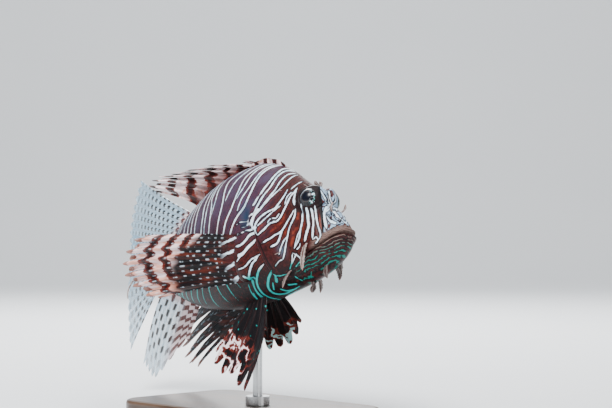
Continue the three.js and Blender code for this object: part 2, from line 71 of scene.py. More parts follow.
# Colours
MILK = (0.68, 0.84, 0.95)
TEAL = (0.0, 0.34, 0.32)
RUSSET = (0.052, 0.008, 0.008)
RUST = (0.15, 0.024, 0.011)
# painted purple sheen of the light from above, laid on the upper flanks
SHEEN_PLUM = (0.06, 0.04, 0.075)
SOOT = (0.004, 0.003, 0.004)
CHOCOLATE = (0.018, 0.003, 0.003)
DARK = (0.009, 0.002, 0.003)
ROSE = (0.86, 0.7, 0.72)
SALMON = (0.75, 0.36, 0.27)
LIP_GREY = (0.16, 0.1, 0.085)
GLASS = (0.22, 0.43, 0.6)
EMBER = (0.2, 0.03, 0.015)
SLATE = (0.07, 0.11, 0.16)
WINE = (0.11, 0.015, 0.01)
PEARL = (0.28, 0.4, 0.54)
DEEP_TEAL = (0.0, 0.15, 0.12)
# painted shade for the hollow behind the gill cover's corner
HOLLOW_SHADE_BLUE = (0.006, 0.03, 0.06)
SEA_GREY = (0.3, 0.5, 0.5)
SKY = (0.3, 0.5, 0.68)
OATMEAL = (0.5, 0.43, 0.4)
UMBER = (0.11, 0.04, 0.03)
DARK_OAK = (0.035, 0.019, 0.012)
OAK = (0.1, 0.055, 0.032)
PORE = (0.015, 0.008, 0.006)
INK = (0.002, 0.003, 0.008)


def camera():
    data = bpy.data.cameras.new("camera")
    data.lens = CAMERA_LENS
    data.sensor_width = SENSOR_WIDTH
    made = bpy.data.objects.new("camera", data)
    made.location = CAMERA_AT
    made.rotation_euler = (math.radians(90), 0, CAMERA_TURN)
    bpy.context.scene.collection.objects.link(made)
    bpy.context.scene.camera = made


camera()

# Small helpers on whole arrays


def mix(a, b, share):
    return a + (b - a) * share


def smoothstep(value, low, high):
    """0 below low, 1 above high, and the cubic 3t^2 - 2t^3 between them."""
    t = np.clip((value - low) / (high - low), 0, 1)
    return t * t * (3 - 2 * t)


def hump(value, centre, width):
    """A bell: 1 at the centre, falling as the exponential of minus the squared distance over width."""
    return np.exp(-(((value - centre) / width) ** 2))


def unit(vectors):
    length = np.linalg.norm(vectors, axis=-1, keepdims=True)
    return vectors / np.maximum(length, 1e-12)


def stack(x, y, z):
    return np.stack(np.broadcast_arrays(x, y, z), axis=-1).astype(float)


# The body's form


def smooth_line(points, first):
    """A line through a few points that never overshoots them. It is a cubic on the square root of the
    distance back, and its slope at a point is the harmonic mean of the slopes on its two sides."""
    back, value = np.array(points, float).T
    x = np.concatenate([[0], np.sqrt(back + NOSE)])
    y = np.concatenate([[first], value])
    slope = np.diff(y) / np.diff(x)
    before, after = slope[:-1], slope[1:]
    same = before * after > 0
    inner = np.where(same, 2 * before * after / np.where(same, before + after, 1), 0)
    tangent = np.concatenate([slope[:1], inner, slope[-1:]])

    def line(back):
        at = np.sqrt(np.clip(back, -NOSE, TAIL_ROOT) + NOSE)
        i = np.clip(np.searchsorted(x, at, side="right") - 1, 0, len(x) - 2)
        step = x[i + 1] - x[i]
        t = (at - x[i]) / step
        return ((2 * t**3 - 3 * t**2 + 1) * y[i] + (t**3 - 2 * t**2 + t) * step * tangent[i]
                + (3 * t**2 - 2 * t**3) * y[i + 1] + (t**3 - t**2) * step * tangent[i + 1])

    return line


top_at = smooth_line(TOP_LINE, NOSE_UP)
bottom_at = smooth_line(BOTTOM_LINE, NOSE_UP)
half_width_at = smooth_line(HALF_WIDTH, 0)


def body_point(back, angle):
    """A point of the straight body: two half ellipses that meet at the widest height, with the upper one
    narrowed by raising its cosine to a power. Angle 0 is the left flank and a quarter turn the back."""
    top, bottom, half = top_at(back), bottom_at(back), half_width_at(back)
    widest = mix(bottom, top, WIDEST_SHARE)
    c, s = np.cos(angle), np.sin(angle)
    pinch = np.where(s > 0, mix(1, ROOF_PINCH, s), 1)
    y = half * np.sign(c) * np.abs(c) ** pinch
    z = widest + s * np.where(s > 0, top - widest, widest - bottom)
    return stack(-back, y, z)


def side_at(back, up):
    """Half the body's width at a height: body_point solved for y."""
    top, bottom = top_at(back), bottom_at(back)
    widest = mix(bottom, top, WIDEST_SHARE)
    s = np.clip((up - widest) / np.where(up > widest, top - widest, widest - bottom), -1, 1)
    pinch = np.where(s > 0, mix(1, ROOF_PINCH, s), 1)
    return half_width_at(back) * np.sqrt(1 - s * s) ** pinch


def placed(points):
    """Straight fish in millimetres to the fish on its stand in metres. Behind BEND_START the body's axis
    runs on an arc, then the fish is rolled about X, pitched nose up about Y and moved to its rod."""
    x, y, z = np.moveaxis(np.asarray(points, float), -1, 0)
    past = np.maximum(-x - BEND_START, 0)
    length = TAIL_ROOT - BEND_START
    radius = length / BEND_ANGLE
    turn = BEND_ANGLE * np.minimum(past / length, 1)
    beyond = np.maximum(past - length, 0)
    c, s = np.cos(turn), np.sin(turn)
    swept = past > 0
    x, y = (np.where(swept, -BEND_START - radius * s - beyond * c + y * s, x),
            np.where(swept, radius * (1 - c) + beyond * s + y * c, y))
    c, s = math.cos(BANK["roll"]), math.sin(BANK["roll"])
    y, z = y * c - z * s, y * s + z * c
    c, s = math.cos(BANK["pitch"]), math.sin(BANK["pitch"])
    x, z = x * c - z * s, x * s + z * c
    return (np.stack([x, y, z], -1) + FISH_AT) * MM


# Meshes from arrays


def volume_of(points, faces):
    """Six times the volume that the faces enclose: the sum of their triangles' triple products."""
    a, b, c = (points[faces[:, i]] for i in range(3))
    volume = np.einsum("ij,ij->i", a, np.cross(b, c)).sum()
    if faces.shape[1] == 4:
        volume += np.einsum("ij,ij->i", a, np.cross(c, points[faces[:, 3]])).sum()
    return volume


def make_piece(name, points, quads, triangles=None, values=None, uv=None):
    """A mesh object from whole arrays, in metres, with named values on its vertices and one UV map. Its
    faces are turned round if the volume that they enclose comes out negative."""
    triangles = np.zeros((0, 3), int) if triangles is None else triangles
    if volume_of(points, quads) + volume_of(points, triangles) < 0:
        quads, triangles = quads[:, ::-1], triangles[:, ::-1]
    corners = np.concatenate([quads.ravel(), triangles.ravel()]).astype(np.int32)
    starts = np.concatenate([np.arange(len(quads)) * 4, 4 * len(quads) + np.arange(len(triangles)) * 3])
    mesh = bpy.data.meshes.new(name)
    mesh.vertices.add(len(points))
    mesh.vertices.foreach_set("co", points.astype(np.float32).ravel())
    mesh.loops.add(len(corners))
    mesh.loops.foreach_set("vertex_index", corners)
    mesh.polygons.add(len(starts))
    mesh.polygons.foreach_set("loop_start", starts.astype(np.int32))
    mesh.polygons.foreach_set("use_smooth", np.ones(len(starts), bool))
    for key, value in (values or {}).items():
        mesh.attributes.new(key, "FLOAT", "POINT").data.foreach_set("value", value.astype(np.float32).ravel())
    if uv is not None:
        layer = mesh.uv_layers.new(name="own")
        layer.data.foreach_set("uv", uv[corners].astype(np.float32).ravel())
    mesh.update(calc_edges=True)
    mesh.validate()
    piece = bpy.data.objects.new(name, mesh)
    bpy.context.scene.collection.objects.link(piece)
    return piece


def ring_faces(rows, columns):
    """Quads of a grid of rows that close on themselves, and triangles to a pole before and one after it.
    The poles' vertices come after the grid's."""
    i, j = np.meshgrid(np.arange(rows - 1), np.arange(columns), indexing="ij")
    k = (j + 1) % columns
    quads = np.stack([i * columns + j, (i + 1) * columns + j, (i + 1) * columns + k, i * columns + k], -1)
    j = np.arange(columns)
    k = (j + 1) % columns
    start = np.full(columns, rows * columns)
    near = np.stack([start, j, k], -1)
    far = np.stack([start + 1, (rows - 1) * columns + k, (rows - 1) * columns + j], -1)
    return quads.reshape(-1, 4), np.concatenate([near, far])


def sheet_faces(columns, rows):
    """Quads of a closed sheet: a front grid, a back grid after it in the vertices, and the rim between."""
    i, j = np.meshgrid(np.arange(columns - 1), np.arange(rows - 1), indexing="ij")
    front = np.stack([i * rows + j, (i + 1) * rows + j, (i + 1) * rows + j + 1, i * rows + j + 1], -1)
    front = front.reshape(-1, 4)
    count = columns * rows
    low = np.arange(rows)
    across = np.arange(columns)
    rim = np.concatenate([low[:-1], across[:-1] * rows + rows - 1,
                          (columns - 1) * rows + low[:0:-1], across[:0:-1] * rows])
    following = np.roll(rim, -1)
    edge = np.stack([rim, following, following + count, rim + count], -1)
    return np.concatenate([front[:, ::-1], front + count, edge])


def grid_normals(grid):
    """Unit normals of a grid whose rows close on themselves: the cross product of its central differences
    along and across, turned so that they point away from each row's middle."""
    along = np.gradient(grid, axis=0)
    across = np.roll(grid, -1, axis=1) - np.roll(grid, 1, axis=1)
    normal = unit(np.cross(along, across))
    away = grid - grid.mean(axis=1, keepdims=True)
    return normal * np.sign((normal * away).sum())


# Skin

SKIN_ROWS = 380
SKIN_COLUMNS = 256
ROW_CROWDING = 1.4  # above 1 sets the rows closer towards the nose


def swell(points, middle, centre, radii, blend):
    """Pushes the skin out over an egg shape that bulges from it. Along the ray from the middle to a point
    the new distance is the smooth maximum of the old one and of the far crossing of the egg."""
    ray = points - middle
    distance = np.linalg.norm(ray, axis=-1)
    heading = ray / np.maximum(distance, 1e-9)[..., None]
    offset = (np.array(middle) - centre) / radii
    slant = heading / radii
    a = (slant**2).sum(-1)
    b = (slant * offset).sum(-1)
    c = (offset**2).sum() - 1
    under = b * b - a * c
    reach = np.where(under > 0, (-b + np.sqrt(np.maximum(under, 0))) / a, 0)
    reach = np.maximum(reach, 0)
    joined = (distance**blend + reach**blend) ** (1 / blend)
    return np.array(middle) + heading * joined[..., None]


def mouth_up(back):
    along = (back - MOUTH_TIP["back"]) / (MOUTH_CORNER["back"] - MOUTH_TIP["back"])
    return mix(MOUTH_TIP["up"], MOUTH_CORNER["up"], along)


# The gill cover's free edge, as distances back at shares of the way round
GILL_EDGE = [[28, 58], [34, 65.5], [40, 69], [44, 69], [48, 63], [53, 61], [60, 58], [66, 56], [73, 53],
             [80, 49.5], [88, 45]]


def gill_step(back, share):
    """A plate that lies proud at its free edge and runs out forwards as a bell: the height is cut off
    within a millimetre behind the edge, and fades out at the edge's two ends."""
    edge = np.interp(share, *np.array(GILL_EDGE).T)
    ahead = edge - back
    ends = smoothstep(share, 26, 34) * (1 - smoothstep(share, 80, 88))
    return FORMS["plate"] * ends * smoothstep(ahead, -0.4, 0.3) * np.exp(-((np.maximum(ahead, 0) / 10) ** 2))


def eye_distance(back, grid):
    return np.sqrt((back - EYE["back"]) ** 2 + (np.abs(grid[..., 1]) - EYE["side"]) ** 2
                   + (grid[..., 2] - EYE["up"]) ** 2)


# Heights of the skin's small forms in millimetres, then the places of the hollow and of a patch of colour
FORMS = dict(lip=1.5, groove=2.4, plate=1.3, hollow=2.2, rim=0.9, nostril=0.8, hole=1.2, cheek=0.7,
             ripple=0.28)
HOLLOW = dict(back=74, share=41)  # behind the gill cover's corner
PATCH = dict(back=41.8, share=58.5)  # grey blue, low on the cheek


def skin_height(back, share, grid):
    """How far the skin stands off the plain body, in millimetres: two lip rolls with the mouth's groove
    between them, the gill cover's plate with a hollow behind its corner, a rim round the eye, a pit in a
    raised nostril, a ridge down the cheek, and low ripples on the snout."""
    off = grid[..., 2] - mouth_up(back)
    lips = FORMS["lip"] * hump(np.abs(off), 1.9, 1.5) - FORMS["groove"] * hump(off, 0, 0.55)
    lips = lips * (1 - smoothstep(back, 19, 25))
    hollow = -FORMS["hollow"] * hump(back, HOLLOW["back"], 4.5) * hump(share, HOLLOW["share"], 5)
    rim = FORMS["rim"] * hump(eye_distance(back, grid), EYE["radius"] + 1.1, 0.9)
    rim = rim * (np.abs(grid[..., 1]) > 3)
    nostril = np.sqrt((back - NOSTRIL["back"]) ** 2 + (grid[..., 2] - NOSTRIL["up"]) ** 2)
    breath = FORMS["nostril"] * hump(nostril, 1.6, 0.8) - FORMS["hole"] * hump(nostril, 0, 0.9)
    cheek = FORMS["cheek"] * hump(back, 34 + 0.1 * (share - 40), 2.2) * hump(share, 52, 12)
    ripple = FORMS["ripple"] * np.sin(back * 1.9 + share * 0.35) * (1 - smoothstep(back, 14, 22)) * (off > 4)
    return lips + gill_step(back, share) + hollow + rim + breath + cheek + ripple


def skin_grid():
    """The body's grid with the socket mounds and the fleshy feet of the breast fins pushed out of it, and
    the skin's own height laid on along its normals."""
    along = np.arange(1, SKIN_ROWS + 1) / SKIN_ROWS
    back = -NOSE + (TAIL_ROOT + NOSE) * along**ROW_CROWDING
    angle = 2 * np.pi * np.arange(SKIN_COLUMNS) / SKIN_COLUMNS
    back, angle = np.meshgrid(back, angle, indexing="ij")
    grid = body_point(back, angle)
    for side in (1, -1):
        grid = swell(grid, (-EYE["back"] - 0.5, 0, EYE["up"] - 6),
                     (-EYE["back"] - 0.5, side * (EYE["side"] - 2.8), EYE["up"]),
                     EYE["mound"] * np.array([1.08, 0.9, 0.97]), 12)
        foot = side_at(FIN_FOOT["back"] - 1, FIN_FOOT["up"]) - 2.5
        grid = swell(grid, (-FIN_FOOT["back"], 0, FIN_FOOT["up"]),
                     (-FIN_FOOT["back"], side * foot, FIN_FOOT["up"]), np.array(FIN_FOOT["radius"]), 14)
    share = 100 * np.abs((np.degrees(angle) - 90 + 180) % 360 - 180) / 180
    grid = grid + grid_normals(grid) * skin_height(back, share, grid)[..., None]
    return back, share, grid


def on_skin(grid, back, share):
    """Points of the right side's skin at (back, share), read between the four nearest points of the grid."""
    along = (np.clip(back, -NOSE, TAIL_ROOT) + NOSE) / (TAIL_ROOT + NOSE)
    row = np.clip(along ** (1 / ROW_CROWDING) * SKIN_ROWS - 1, 0, SKIN_ROWS - 1.001)
    column = (90 + 1.8 * share) / 360 * SKIN_COLUMNS
    i, j = np.floor(row).astype(int), np.floor(column).astype(int)
    u, v = (row - i)[:, None], (column - j)[:, None]
    j, k = j % SKIN_COLUMNS, (j + 1) % SKIN_COLUMNS
    return mix(mix(grid[i, j], grid[i, k], v), mix(grid[i + 1, j], grid[i + 1, k], v), u)


def curve(points, steps=8):
    """A smooth line through control points: each span is the Catmull-Rom cubic of its four neighbours."""
    p = np.array(points, float)
    p = np.concatenate([[2 * p[0] - p[1]], p, [2 * p[-1] - p[-2]]])
    t = np.arange(steps)[None, :, None] / steps
    a, b, c, d = (p[i:len(p) - 3 + i, None] for i in range(4))
    line = 0.5 * (2 * b + (c - a) * t + (2 * a - 5 * b + 4 * c - d) * t**2 + (3 * b - a - 3 * c + d) * t**3)
    return np.concatenate([line.reshape(-1, p.shape[1]), p[-2:-1]])


def edge_distance(points, line, half):
    """Distance from each point to the nearest segment of a line, less the line's half width there."""
    start, step = line[:-1], np.diff(line, axis=0)
    off = points[:, None] - start
    t = np.clip((off * step).sum(-1) / (step**2).sum(-1).clip(1e-9), 0, 1)
    away = np.linalg.norm(off - t[..., None] * step, axis=-1)
    return (away - mix(half[:-1], half[1:], t)).min(axis=1)


FAR = 6.0  # distances to a stripe stop counting beyond this


def stripe_distance(grid, stripes, wander):
    """For every point of the skin, the distance to the edge of the nearest stripe, negative inside. The
    left side reads the same stripes mirrored, with their points moved by up to about wander."""
    field = np.full(grid.shape[:2], FAR)
    for side in (-1, 1):
        here = np.flatnonzero((np.sign(grid[..., 1]) * side >= 0).ravel())
        points = grid.reshape(-1, 3)[here] * [1, -side, 1]
        nearest = np.full(len(here), FAR)
        for half, *control in stripes:
            control = np.reshape(control, (-1, 2)).astype(float)
            shift = chance.normal(0, wander, 2)
            if side > 0:
                control = control + shift + chance.normal(0, wander / 3, control.shape)
            back, share = curve(control).T
            line = on_skin(grid, back, share)
            along = np.linspace(0, 1, len(line))
            width = half * (0.35 + 0.65 * smoothstep(np.minimum(along, 1 - along), -0.02, 0.12))
            near = np.flatnonzero(((points > line.min(0) - FAR) & (points < line.max(0) + FAR)).all(axis=1))
            if len(near):
                nearest[near] = np.minimum(nearest[near], edge_distance(points[near], line, width))
        flat = field.reshape(-1)
        flat[here] = nearest
    return field


# Lines and marks of the skin. Each is its half width in millimetres, then its points in turn, each as its
# distance back and its share of the way round.
FLANK_LINES = [
    (0.57, 138, 3, 146, 8, 152, 16, 155, 27, 154, 38, 158, 60, 170, 84, 176, 97),
    (0.57, 134, 3, 141, 10, 147, 20, 148, 30, 147, 40, 152, 60, 163, 84, 166, 97),
    (0.57, 130, 3, 136, 10, 141, 20, 142, 30, 141, 40, 146, 60, 154, 80, 156, 97),
    (0.57, 126, 3, 132, 12, 136, 22, 135.5, 33, 134, 44, 138, 62, 146, 80, 148, 96),
    (0.6, 118, 2, 124, 12, 126.8, 24, 124.6, 36, 124, 48, 130, 66, 137, 80, 137, 94),
    (0.47, 114, 2, 119, 12, 121.5, 24, 120.4, 37, 119.7, 48, 124, 66, 129, 80, 129, 94),
    (0.54, 110, 1, 117, 9, 118.3, 24, 115.5, 30, 113.6, 38, 113.5, 50, 117, 68, 119, 82, 116, 96),
    (0.5, 104, 1, 111, 10, 113.5, 20, 112, 28, 112.6, 35),
    (0.64, 84, 1, 96, 10, 104, 17, 103.6, 24, 101.2, 32, 102.4, 41, 104.4, 58, 107.6, 73, 102, 90),
    (0.57, 77, 2, 86, 12, 93.5, 19, 96.4, 25, 98.4, 31),
    (0.67, 68, 1, 78, 13, 84.5, 20, 86, 28, 89, 36, 94, 43, 96.5, 58, 97, 70, 93, 86),
    (0.57, 65, 1, 72, 10, 78.5, 19, 81, 26, 85.6, 32),
    (0.57, 61, 1, 68, 11, 71.8, 19, 75, 27, 80, 33, 82.1, 38),
    (0.74, 57, 0, 64, 9, 69.4, 19, 72, 30, 75.6, 36, 82, 41, 86, 45, 90, 54, 89, 66, 84, 78),
]
NAPE_LINES = [
    (0.74, 50, 0, 55.5, 8, 57.4, 17, 59.4, 24, 62.4, 30, 64.4, 35, 66.1, 37),
    (0.64, 47, 0, 52.6, 9, 55, 17, 56.6, 26, 60, 33, 64.3, 40),
    (0.6, 45.5, 4, 49.4, 12, 51.2, 20, 52.4, 27, 55.6, 33, 60, 38),
    (0.6, 44.4, 4, 46, 14, 48, 23, 52.2, 30, 59.6, 38, 65, 42, 67, 46),
    (0.5, 37.6, 8, 39.7, 16, 41.3, 22),
]
CHEEK_LINES = [
    (0.64, 43.4, 23, 44.4, 29, 48.3, 36, 54, 39, 60, 42.4, 62.6, 46, 60.2, 49.6),
    (0.54, 44.5, 34, 49.4, 38, 55, 42, 61.3, 46),
    (0.44, 39.7, 23, 41.8, 28, 41.8, 33),
    (0.67, 39.2, 23, 40.2, 31, 42.9, 39, 46, 42.5, 51.1, 44, 56, 47.4, 60.2, 49.6),
    (0.54, 44.5, 38, 46.7, 41, 51.1, 42, 53.3, 44),
    (0.64, 34.2, 34, 36.2, 39, 41.3, 46.5, 47.2, 49.4, 52.2, 52, 56.7, 54),
    (0.74, 41.3, 46.5, 42.4, 49, 45, 54, 50.5, 56.5),
    (0.64, 33.2, 33, 32.9, 38, 35.6, 45, 37.4, 52, 39.4, 59, 41.8, 65),
    (0.54, 36.7, 49, 39.7, 52, 42.4, 57, 44.5, 62),
    (0.54, 37.7, 20, 36.4, 26, 34.6, 31),
    (0.67, 27.6, 33, 26.7, 39, 27.4, 45, 28.4, 51, 32.2, 58),
    (0.47, 27.4, 45, 29.6, 49, 31.7, 57),
    (0.94, 25.5, 28, 23.2, 35, 21.6, 41, 22.8, 47, 24.1, 52.6),
    (0.74, 22.3, 27, 20.1, 32, 18.4, 38, 18, 50),
    (0.64, 20.6, 23, 17.6, 31, 15, 38, 12.4, 45, 13.4, 51, 15.5, 55),
    (0.47, 17.6, 50, 15.5, 48, 13.2, 51),
    (0.55, 63.1, 47, 70.3, 47, 75.8, 48, 80.8, 48),
    (0.9, 61.3, 48, 67.3, 49, 70.3, 52, 74, 54, 78.9, 54),
    (1, 61.9, 51, 67.3, 55, 70.9, 58, 74, 59, 76.4, 59),
    (0.6, 69.1, 57, 71.5, 59, 74, 60, 77.7, 62),
    (0.75, 61.3, 38, 63.7, 41, 64.9, 44, 64.9, 46),
    (0.6, 63.7, 40, 67.3, 41, 70.9, 43, 65.5, 45, 63.1, 47),
    (0.5, 66.7, 44, 73.3, 45, 77.1, 45),
    (0.3, 68.5, 43, 77.7, 43, 81.5, 44),
    (0.4, 41.8, 65, 45, 66, 48.8, 69),
    (0.45, 36.2, 70, 33.7, 66, 30.7, 62),
    (0.45, 34.2, 73, 30.7, 70, 27.4, 69),
    (0.45, 27.4, 54, 28.3, 57, 30.7, 59),
    (0.6, 37.7, 18, 38.2, 23, 39.7, 27, 40.3, 32),
    (0.45, 37.2, 25, 36.2, 29, 34.2, 31),
    (0.4, 29.3, 28, 27.8, 33),
    (0.4, 25.1, 26, 25.1, 30),
]
SNOUT_LINES = [
    (0.64, 21, 12, 18.4, 12, 15.5, 10),
    (0.5, 20.5, 5, 18, 3, 14.3, 5),
    (1, 13.9, 3, 13.6, 18, 12.8, 26, 10.9, 31, 8.7, 38),
    (0.6, 12.4, 21, 12, 12, 10.4, 3, 8.7, -2),
    (0.9, 10.9, 13, 7.7, 12, 4.8, 12),
    (1, 10.9, 24, 7.3, 27, 3.9, 25),
    (0.5, 5.1, 10, 2.2, 8, 0.2, -2),
]
THROAT_LINES = [
    (0.87, 57.8, 66, 64, 70, 68.4, 77, 68.8, 86, 66, 96, 64.3, 103),
    (0.74, 61.3, 61, 66.6, 65, 71, 73, 72.4, 82, 72.1, 96),
    (0.94, 52.2, 71, 57.6, 76, 61.6, 83, 60.6, 91, 54, 97, 40.8, 95),
    (0.8, 54.4, 88, 51.1, 94, 45.6, 96),
    (0.8, 46.7, 87, 40.3, 90),
    (0.6, 56.1, 80, 59, 87),
    (0.74, 74, 69, 70.3, 71.6, 67.9, 74),
    (0.54, 76, 76, 77.1, 82, 77.1, 92),
    (0.6, 70.3, 74, 72.1, 80, 71.5, 87, 69.7, 94),
    (0.6, 75.8, 83, 76.4, 89, 75.2, 94),
    (0.54, 59.6, 60, 66.1, 62, 70.6, 65, 78, 66),
    (1.14, 51.1, 75, 53.3, 81),
    (0.44, 33.7, 61, 35.7, 68, 39.2, 74),
    (0.44, 33.7, 61, 29.7, 65, 27.8, 70),
    (0.44, 53.3, 73, 49, 76, 40.3, 77),
    (0.44, 37.7, 80, 34.6, 90),
]
DARK_MARKS = [
    (0.95, 23.4, 9, 19.7, 15, 17, 20, 14, 28, 11.6, 36, 10.9, 43),
    (0.4, 12, 23, 8.4, 25, 5.1, 23),
    (0.4, 11.3, 17, 7.7, 18, 4.5, 19),
    (0.37, 19.3, 10, 17.6, 10, 14.3, 8),
    (0.37, 20, 2, 17.6, -2, 13.9, 2),
    (0.37, 15.9, 19, 14.3, 13, 12.8, 7),
    (0.54, 4.5, 19, 2.5, 17, 3.6, 8),
    (0.4, 6.4, 38, 3.3, 30, 0.9, 14),
    (0.45, 61.3, 49, 57.8, 55, 55.6, 60, 53.3, 66, 51.1, 71),
]
WARM_MARKS = [
    (0.8, 40.3, 38, 41.8, 42, 45.6, 45, 50.5, 48),
    (0.7, 56.7, 45, 59, 46, 59.6, 48),
    (0.8, 37.7, 45, 38.7, 48, 41.3, 52),
    (0.8, 30.7, 35, 30.2, 39),
    (0.9, 29.3, 44, 32.2, 46, 32.7, 50, 34.2, 56),
    (0.5, 26.9, 34, 25.5, 40, 26, 45),
    (0.5, 14.7, 31, 12.4, 40),
    (0.8, 27.8, 56, 29.3, 59),
]
TAIL_LINE_BACKS = (160, 165, 176, 181, 192, 197, 208, 213, 223)
TAIL_LINE_HALF = 0.55
TAIL_BOW = 5


def tail_lines():
    """Pairs of lines on the root of the tail: each line bows back by TAIL_BOW down the flank."""
    share = np.array([0, 18, 38, 60, 82, 100])
    bow = TAIL_BOW * np.sin(np.pi * share / 100)
    return [(TAIL_LINE_HALF, *np.stack([back + bow, share], -1).ravel()) for back in TAIL_LINE_BACKS]


LIP_TOP = (5.6, 6.6)  # height over the mouth where the lips end and the snout starts
JAW_END = (30, 38)  # distance back over which the jaw's fine lines die out
SNOUT_END = [[0, 11, 19, 28, 43], [24.5, 22.8, 17.6, 14, 10.9]]  # its distance back at shares of the way


def skin_piece():
    """The whole skin as one grid that closes on itself, with a pole at the nose and one at the tail. Its
    values are the distances to the white lines and dark marks, and the places of its colours."""
    back, share, grid = skin_grid()
    lines = FLANK_LINES + NAPE_LINES + CHEEK_LINES + SNOUT_LINES + THROAT_LINES + tail_lines()
    over_mouth = grid[..., 2] - mouth_up(back)
    above_lip = smoothstep(over_mouth, *LIP_TOP)
    snout = smoothstep(np.interp(share, *SNOUT_END) - back, 0, 1.5) * above_lip
    lip = smoothstep(over_mouth, -0.6, 0.2) * (1 - above_lip) * (1 - smoothstep(back, 15, 22))
    jaw = (1 - smoothstep(over_mouth, -1.4, -0.4)) * (1 - smoothstep(back, *JAW_END))
    values = dict(
        line=stripe_distance(grid, lines, 0.5),
        mark=stripe_distance(grid, DARK_MARKS, 0.3),
        warm=stripe_distance(grid, WARM_MARKS, 0.3),
        mask=1 - smoothstep(eye_distance(back, grid), 9, 17),
        patch=hump(back, PATCH["back"], 3.2) * hump(share, PATCH["share"], 4),
        under=np.maximum(smoothstep(share, mix(60, 66, smoothstep(back, 60, 80)), 76), jaw),
        # upper flanks behind the head, where a purple sheen of the light from above is painted
        top_sheen=smoothstep(back, 44, 66) * (1 - smoothstep(share, 34, 60)),
        snout=snout,
        lip=lip * (1 - smoothstep(back, 22, 27)),
        jaw=jaw,
        depth=-over_mouth + 0.18 * back,
        # the place of the painted shade in the hollow behind the gill cover's corner
        pit=hump(back, HOLLOW["back"], 5) * hump(share, HOLLOW["share"], 5),
    )
    values = {key: np.append(value, value[[0, -1], 0]) for key, value in values.items()}
    nose = np.array([[NOSE, 0, NOSE_UP]])
    tail = np.array([[-TAIL_ROOT, 0, 0]])
    points = np.concatenate([grid.reshape(-1, 3), nose, tail])
    quads, triangles = ring_faces(SKIN_ROWS, SKIN_COLUMNS)
    return make_piece("skin", placed(points), quads, triangles, values)


# Fins

GAP_STEPS = np.array([0, 0.04, 0.08, 0.13, 0.2, 0.28, 0.38])  # columns from a ray to mid-gap


def fin_piece(name, point, band, rays, rows, web_reach, ridge, web,
              strap=0, strap_reach=0, pleat=0, split=0):
    """A closed sheet on a fin's middle surface point(t, s), with t from the first ray to the last and s
    from root to tip. Its half thickness is a round ridge on each ray and thin web between; between two
    rays it stops at web_reach, and a strap of web edges each ray; every other ray folds outwards. With
    split, each ray forks halfway out into two that part by that share of the gap."""
    steps = np.concatenate([GAP_STEPS, [0.5], 1 - GAP_STEPS[:0:-1]])
    across = np.concatenate([(np.arange(rays - 1)[:, None] + steps).ravel(), [rays - 1]])
    edge = np.abs(across - np.round(across))
    if strap:
        reach = np.where(edge < strap, mix(1, strap_reach, (edge / strap) ** 2),
                         mix(strap_reach, web_reach, np.clip((edge - strap) / (0.5 - strap), 0, 1) ** 0.8))
    else:
        reach = mix(1, web_reach, (2 * edge) ** 1.3)
    along = np.linspace(0, 1, rows)
    t, s = np.broadcast_arrays(across[:, None] / (rays - 1), reach[:, None] * along)
    middle = point(t, s)
    small = 1e-3
    lengthways = point(t, s + small) - point(t, np.maximum(s - small, 0))
    low, high = np.maximum(t - small, 0), np.minimum(t + small, 1)
    crossways = point(high, s + small) - point(low, s + small)
    normal = unit(np.cross(lengthways, crossways))
    gap = np.linalg.norm(crossways, axis=-1) / (high - low) / (rays - 1)
    radius = ridge / 2 * (1 - 0.7 * s)
    fork = split * smoothstep(s, 0.45, 1)
    off = np.abs(edge[:, None] - fork) * gap
    half = np.maximum(radius * np.sqrt(np.maximum(1 - (off / radius) ** 2, 0)), web / 2 * (1 - 0.6 * s))
    fold = -pleat * np.cos(np.pi * across)[:, None] * s
    middle = middle + normal * fold[..., None]
    front, behind = middle + normal * half[..., None], middle - normal * half[..., None]
    points = np.concatenate([front.reshape(-1, 3), behind.reshape(-1, 3)])
    ray = np.broadcast_to(across[:, None], s.shape)
    uv = np.stack([ray, s], -1).reshape(-1, 2)
    values = dict(band=band(ray, s, -middle[..., 0]), spot=gap * np.abs(ray - np.round(ray)))
    values = {key: np.tile(value.ravel(), 2) for key, value in values.items()}
    return make_piece(name, placed(points), sheet_faces(len(across), rows), values=values,
                      uv=np.concatenate([uv, uv]))


BREAST = dict(back=73, low=-24, high=6)


def breast_fin(side, longest, lift, droop, outward):
    """Rays from a slanting root on the flank, each along a heading that turns from lift to -droop. Their
    lengths follow part of a half sine, and they close in a little on the body outwards."""
    def point(t, s):
        length = longest * (0.74 + 0.34 * np.sin(np.pi * (t * 0.8 + 0.12)))
        up = mix(BREAST["high"], BREAST["low"], t)
        back = BREAST["back"] + 3 - 5 * t
        rise = np.radians(mix(lift, -droop, t))
        out = np.radians(outward * (1 - 0.35 * s))
        reach = s * length
        return stack(-back - np.cos(rise) * np.cos(out) * reach,
                     side * (side_at(back, up) - 1.5) + side * np.sin(out) * reach,
                     up + np.sin(rise) * reach - 2 * s * s * t)
    return point


BELLY = dict(back=69, side=7)


def belly_fin(side, longest, shares, splay, spread, front, sweep, bow):
    """Rays down from the belly, turning from front to sweep, splaying to the side and bowed forwards."""
    def point(t, s):
        length = longest * np.interp(t, np.linspace(0, 1, len(shares)), shares)
        back = BELLY["back"] + 16 * t
        down = np.radians(mix(front, sweep, t))
        out = np.radians(splay * (1 - t * 0.5)) * mix(spread, 1, s)
        return stack(-back - np.cos(down) * s * length + bow * np.sin(np.pi * s) * (1 - t),
                     side * (BELLY["side"] - 2 * t) + side * np.sin(out) * s * length,
                     bottom_at(back) + 5 - np.sin(down) * np.cos(out) * s * length)
    return point


SPINES = dict(first=60, last=150, flatten=0.75)
SPINE_TIPS = dict(back=97, spread=123, crowding=2.2, up=60.8, rise=10, drop=9)


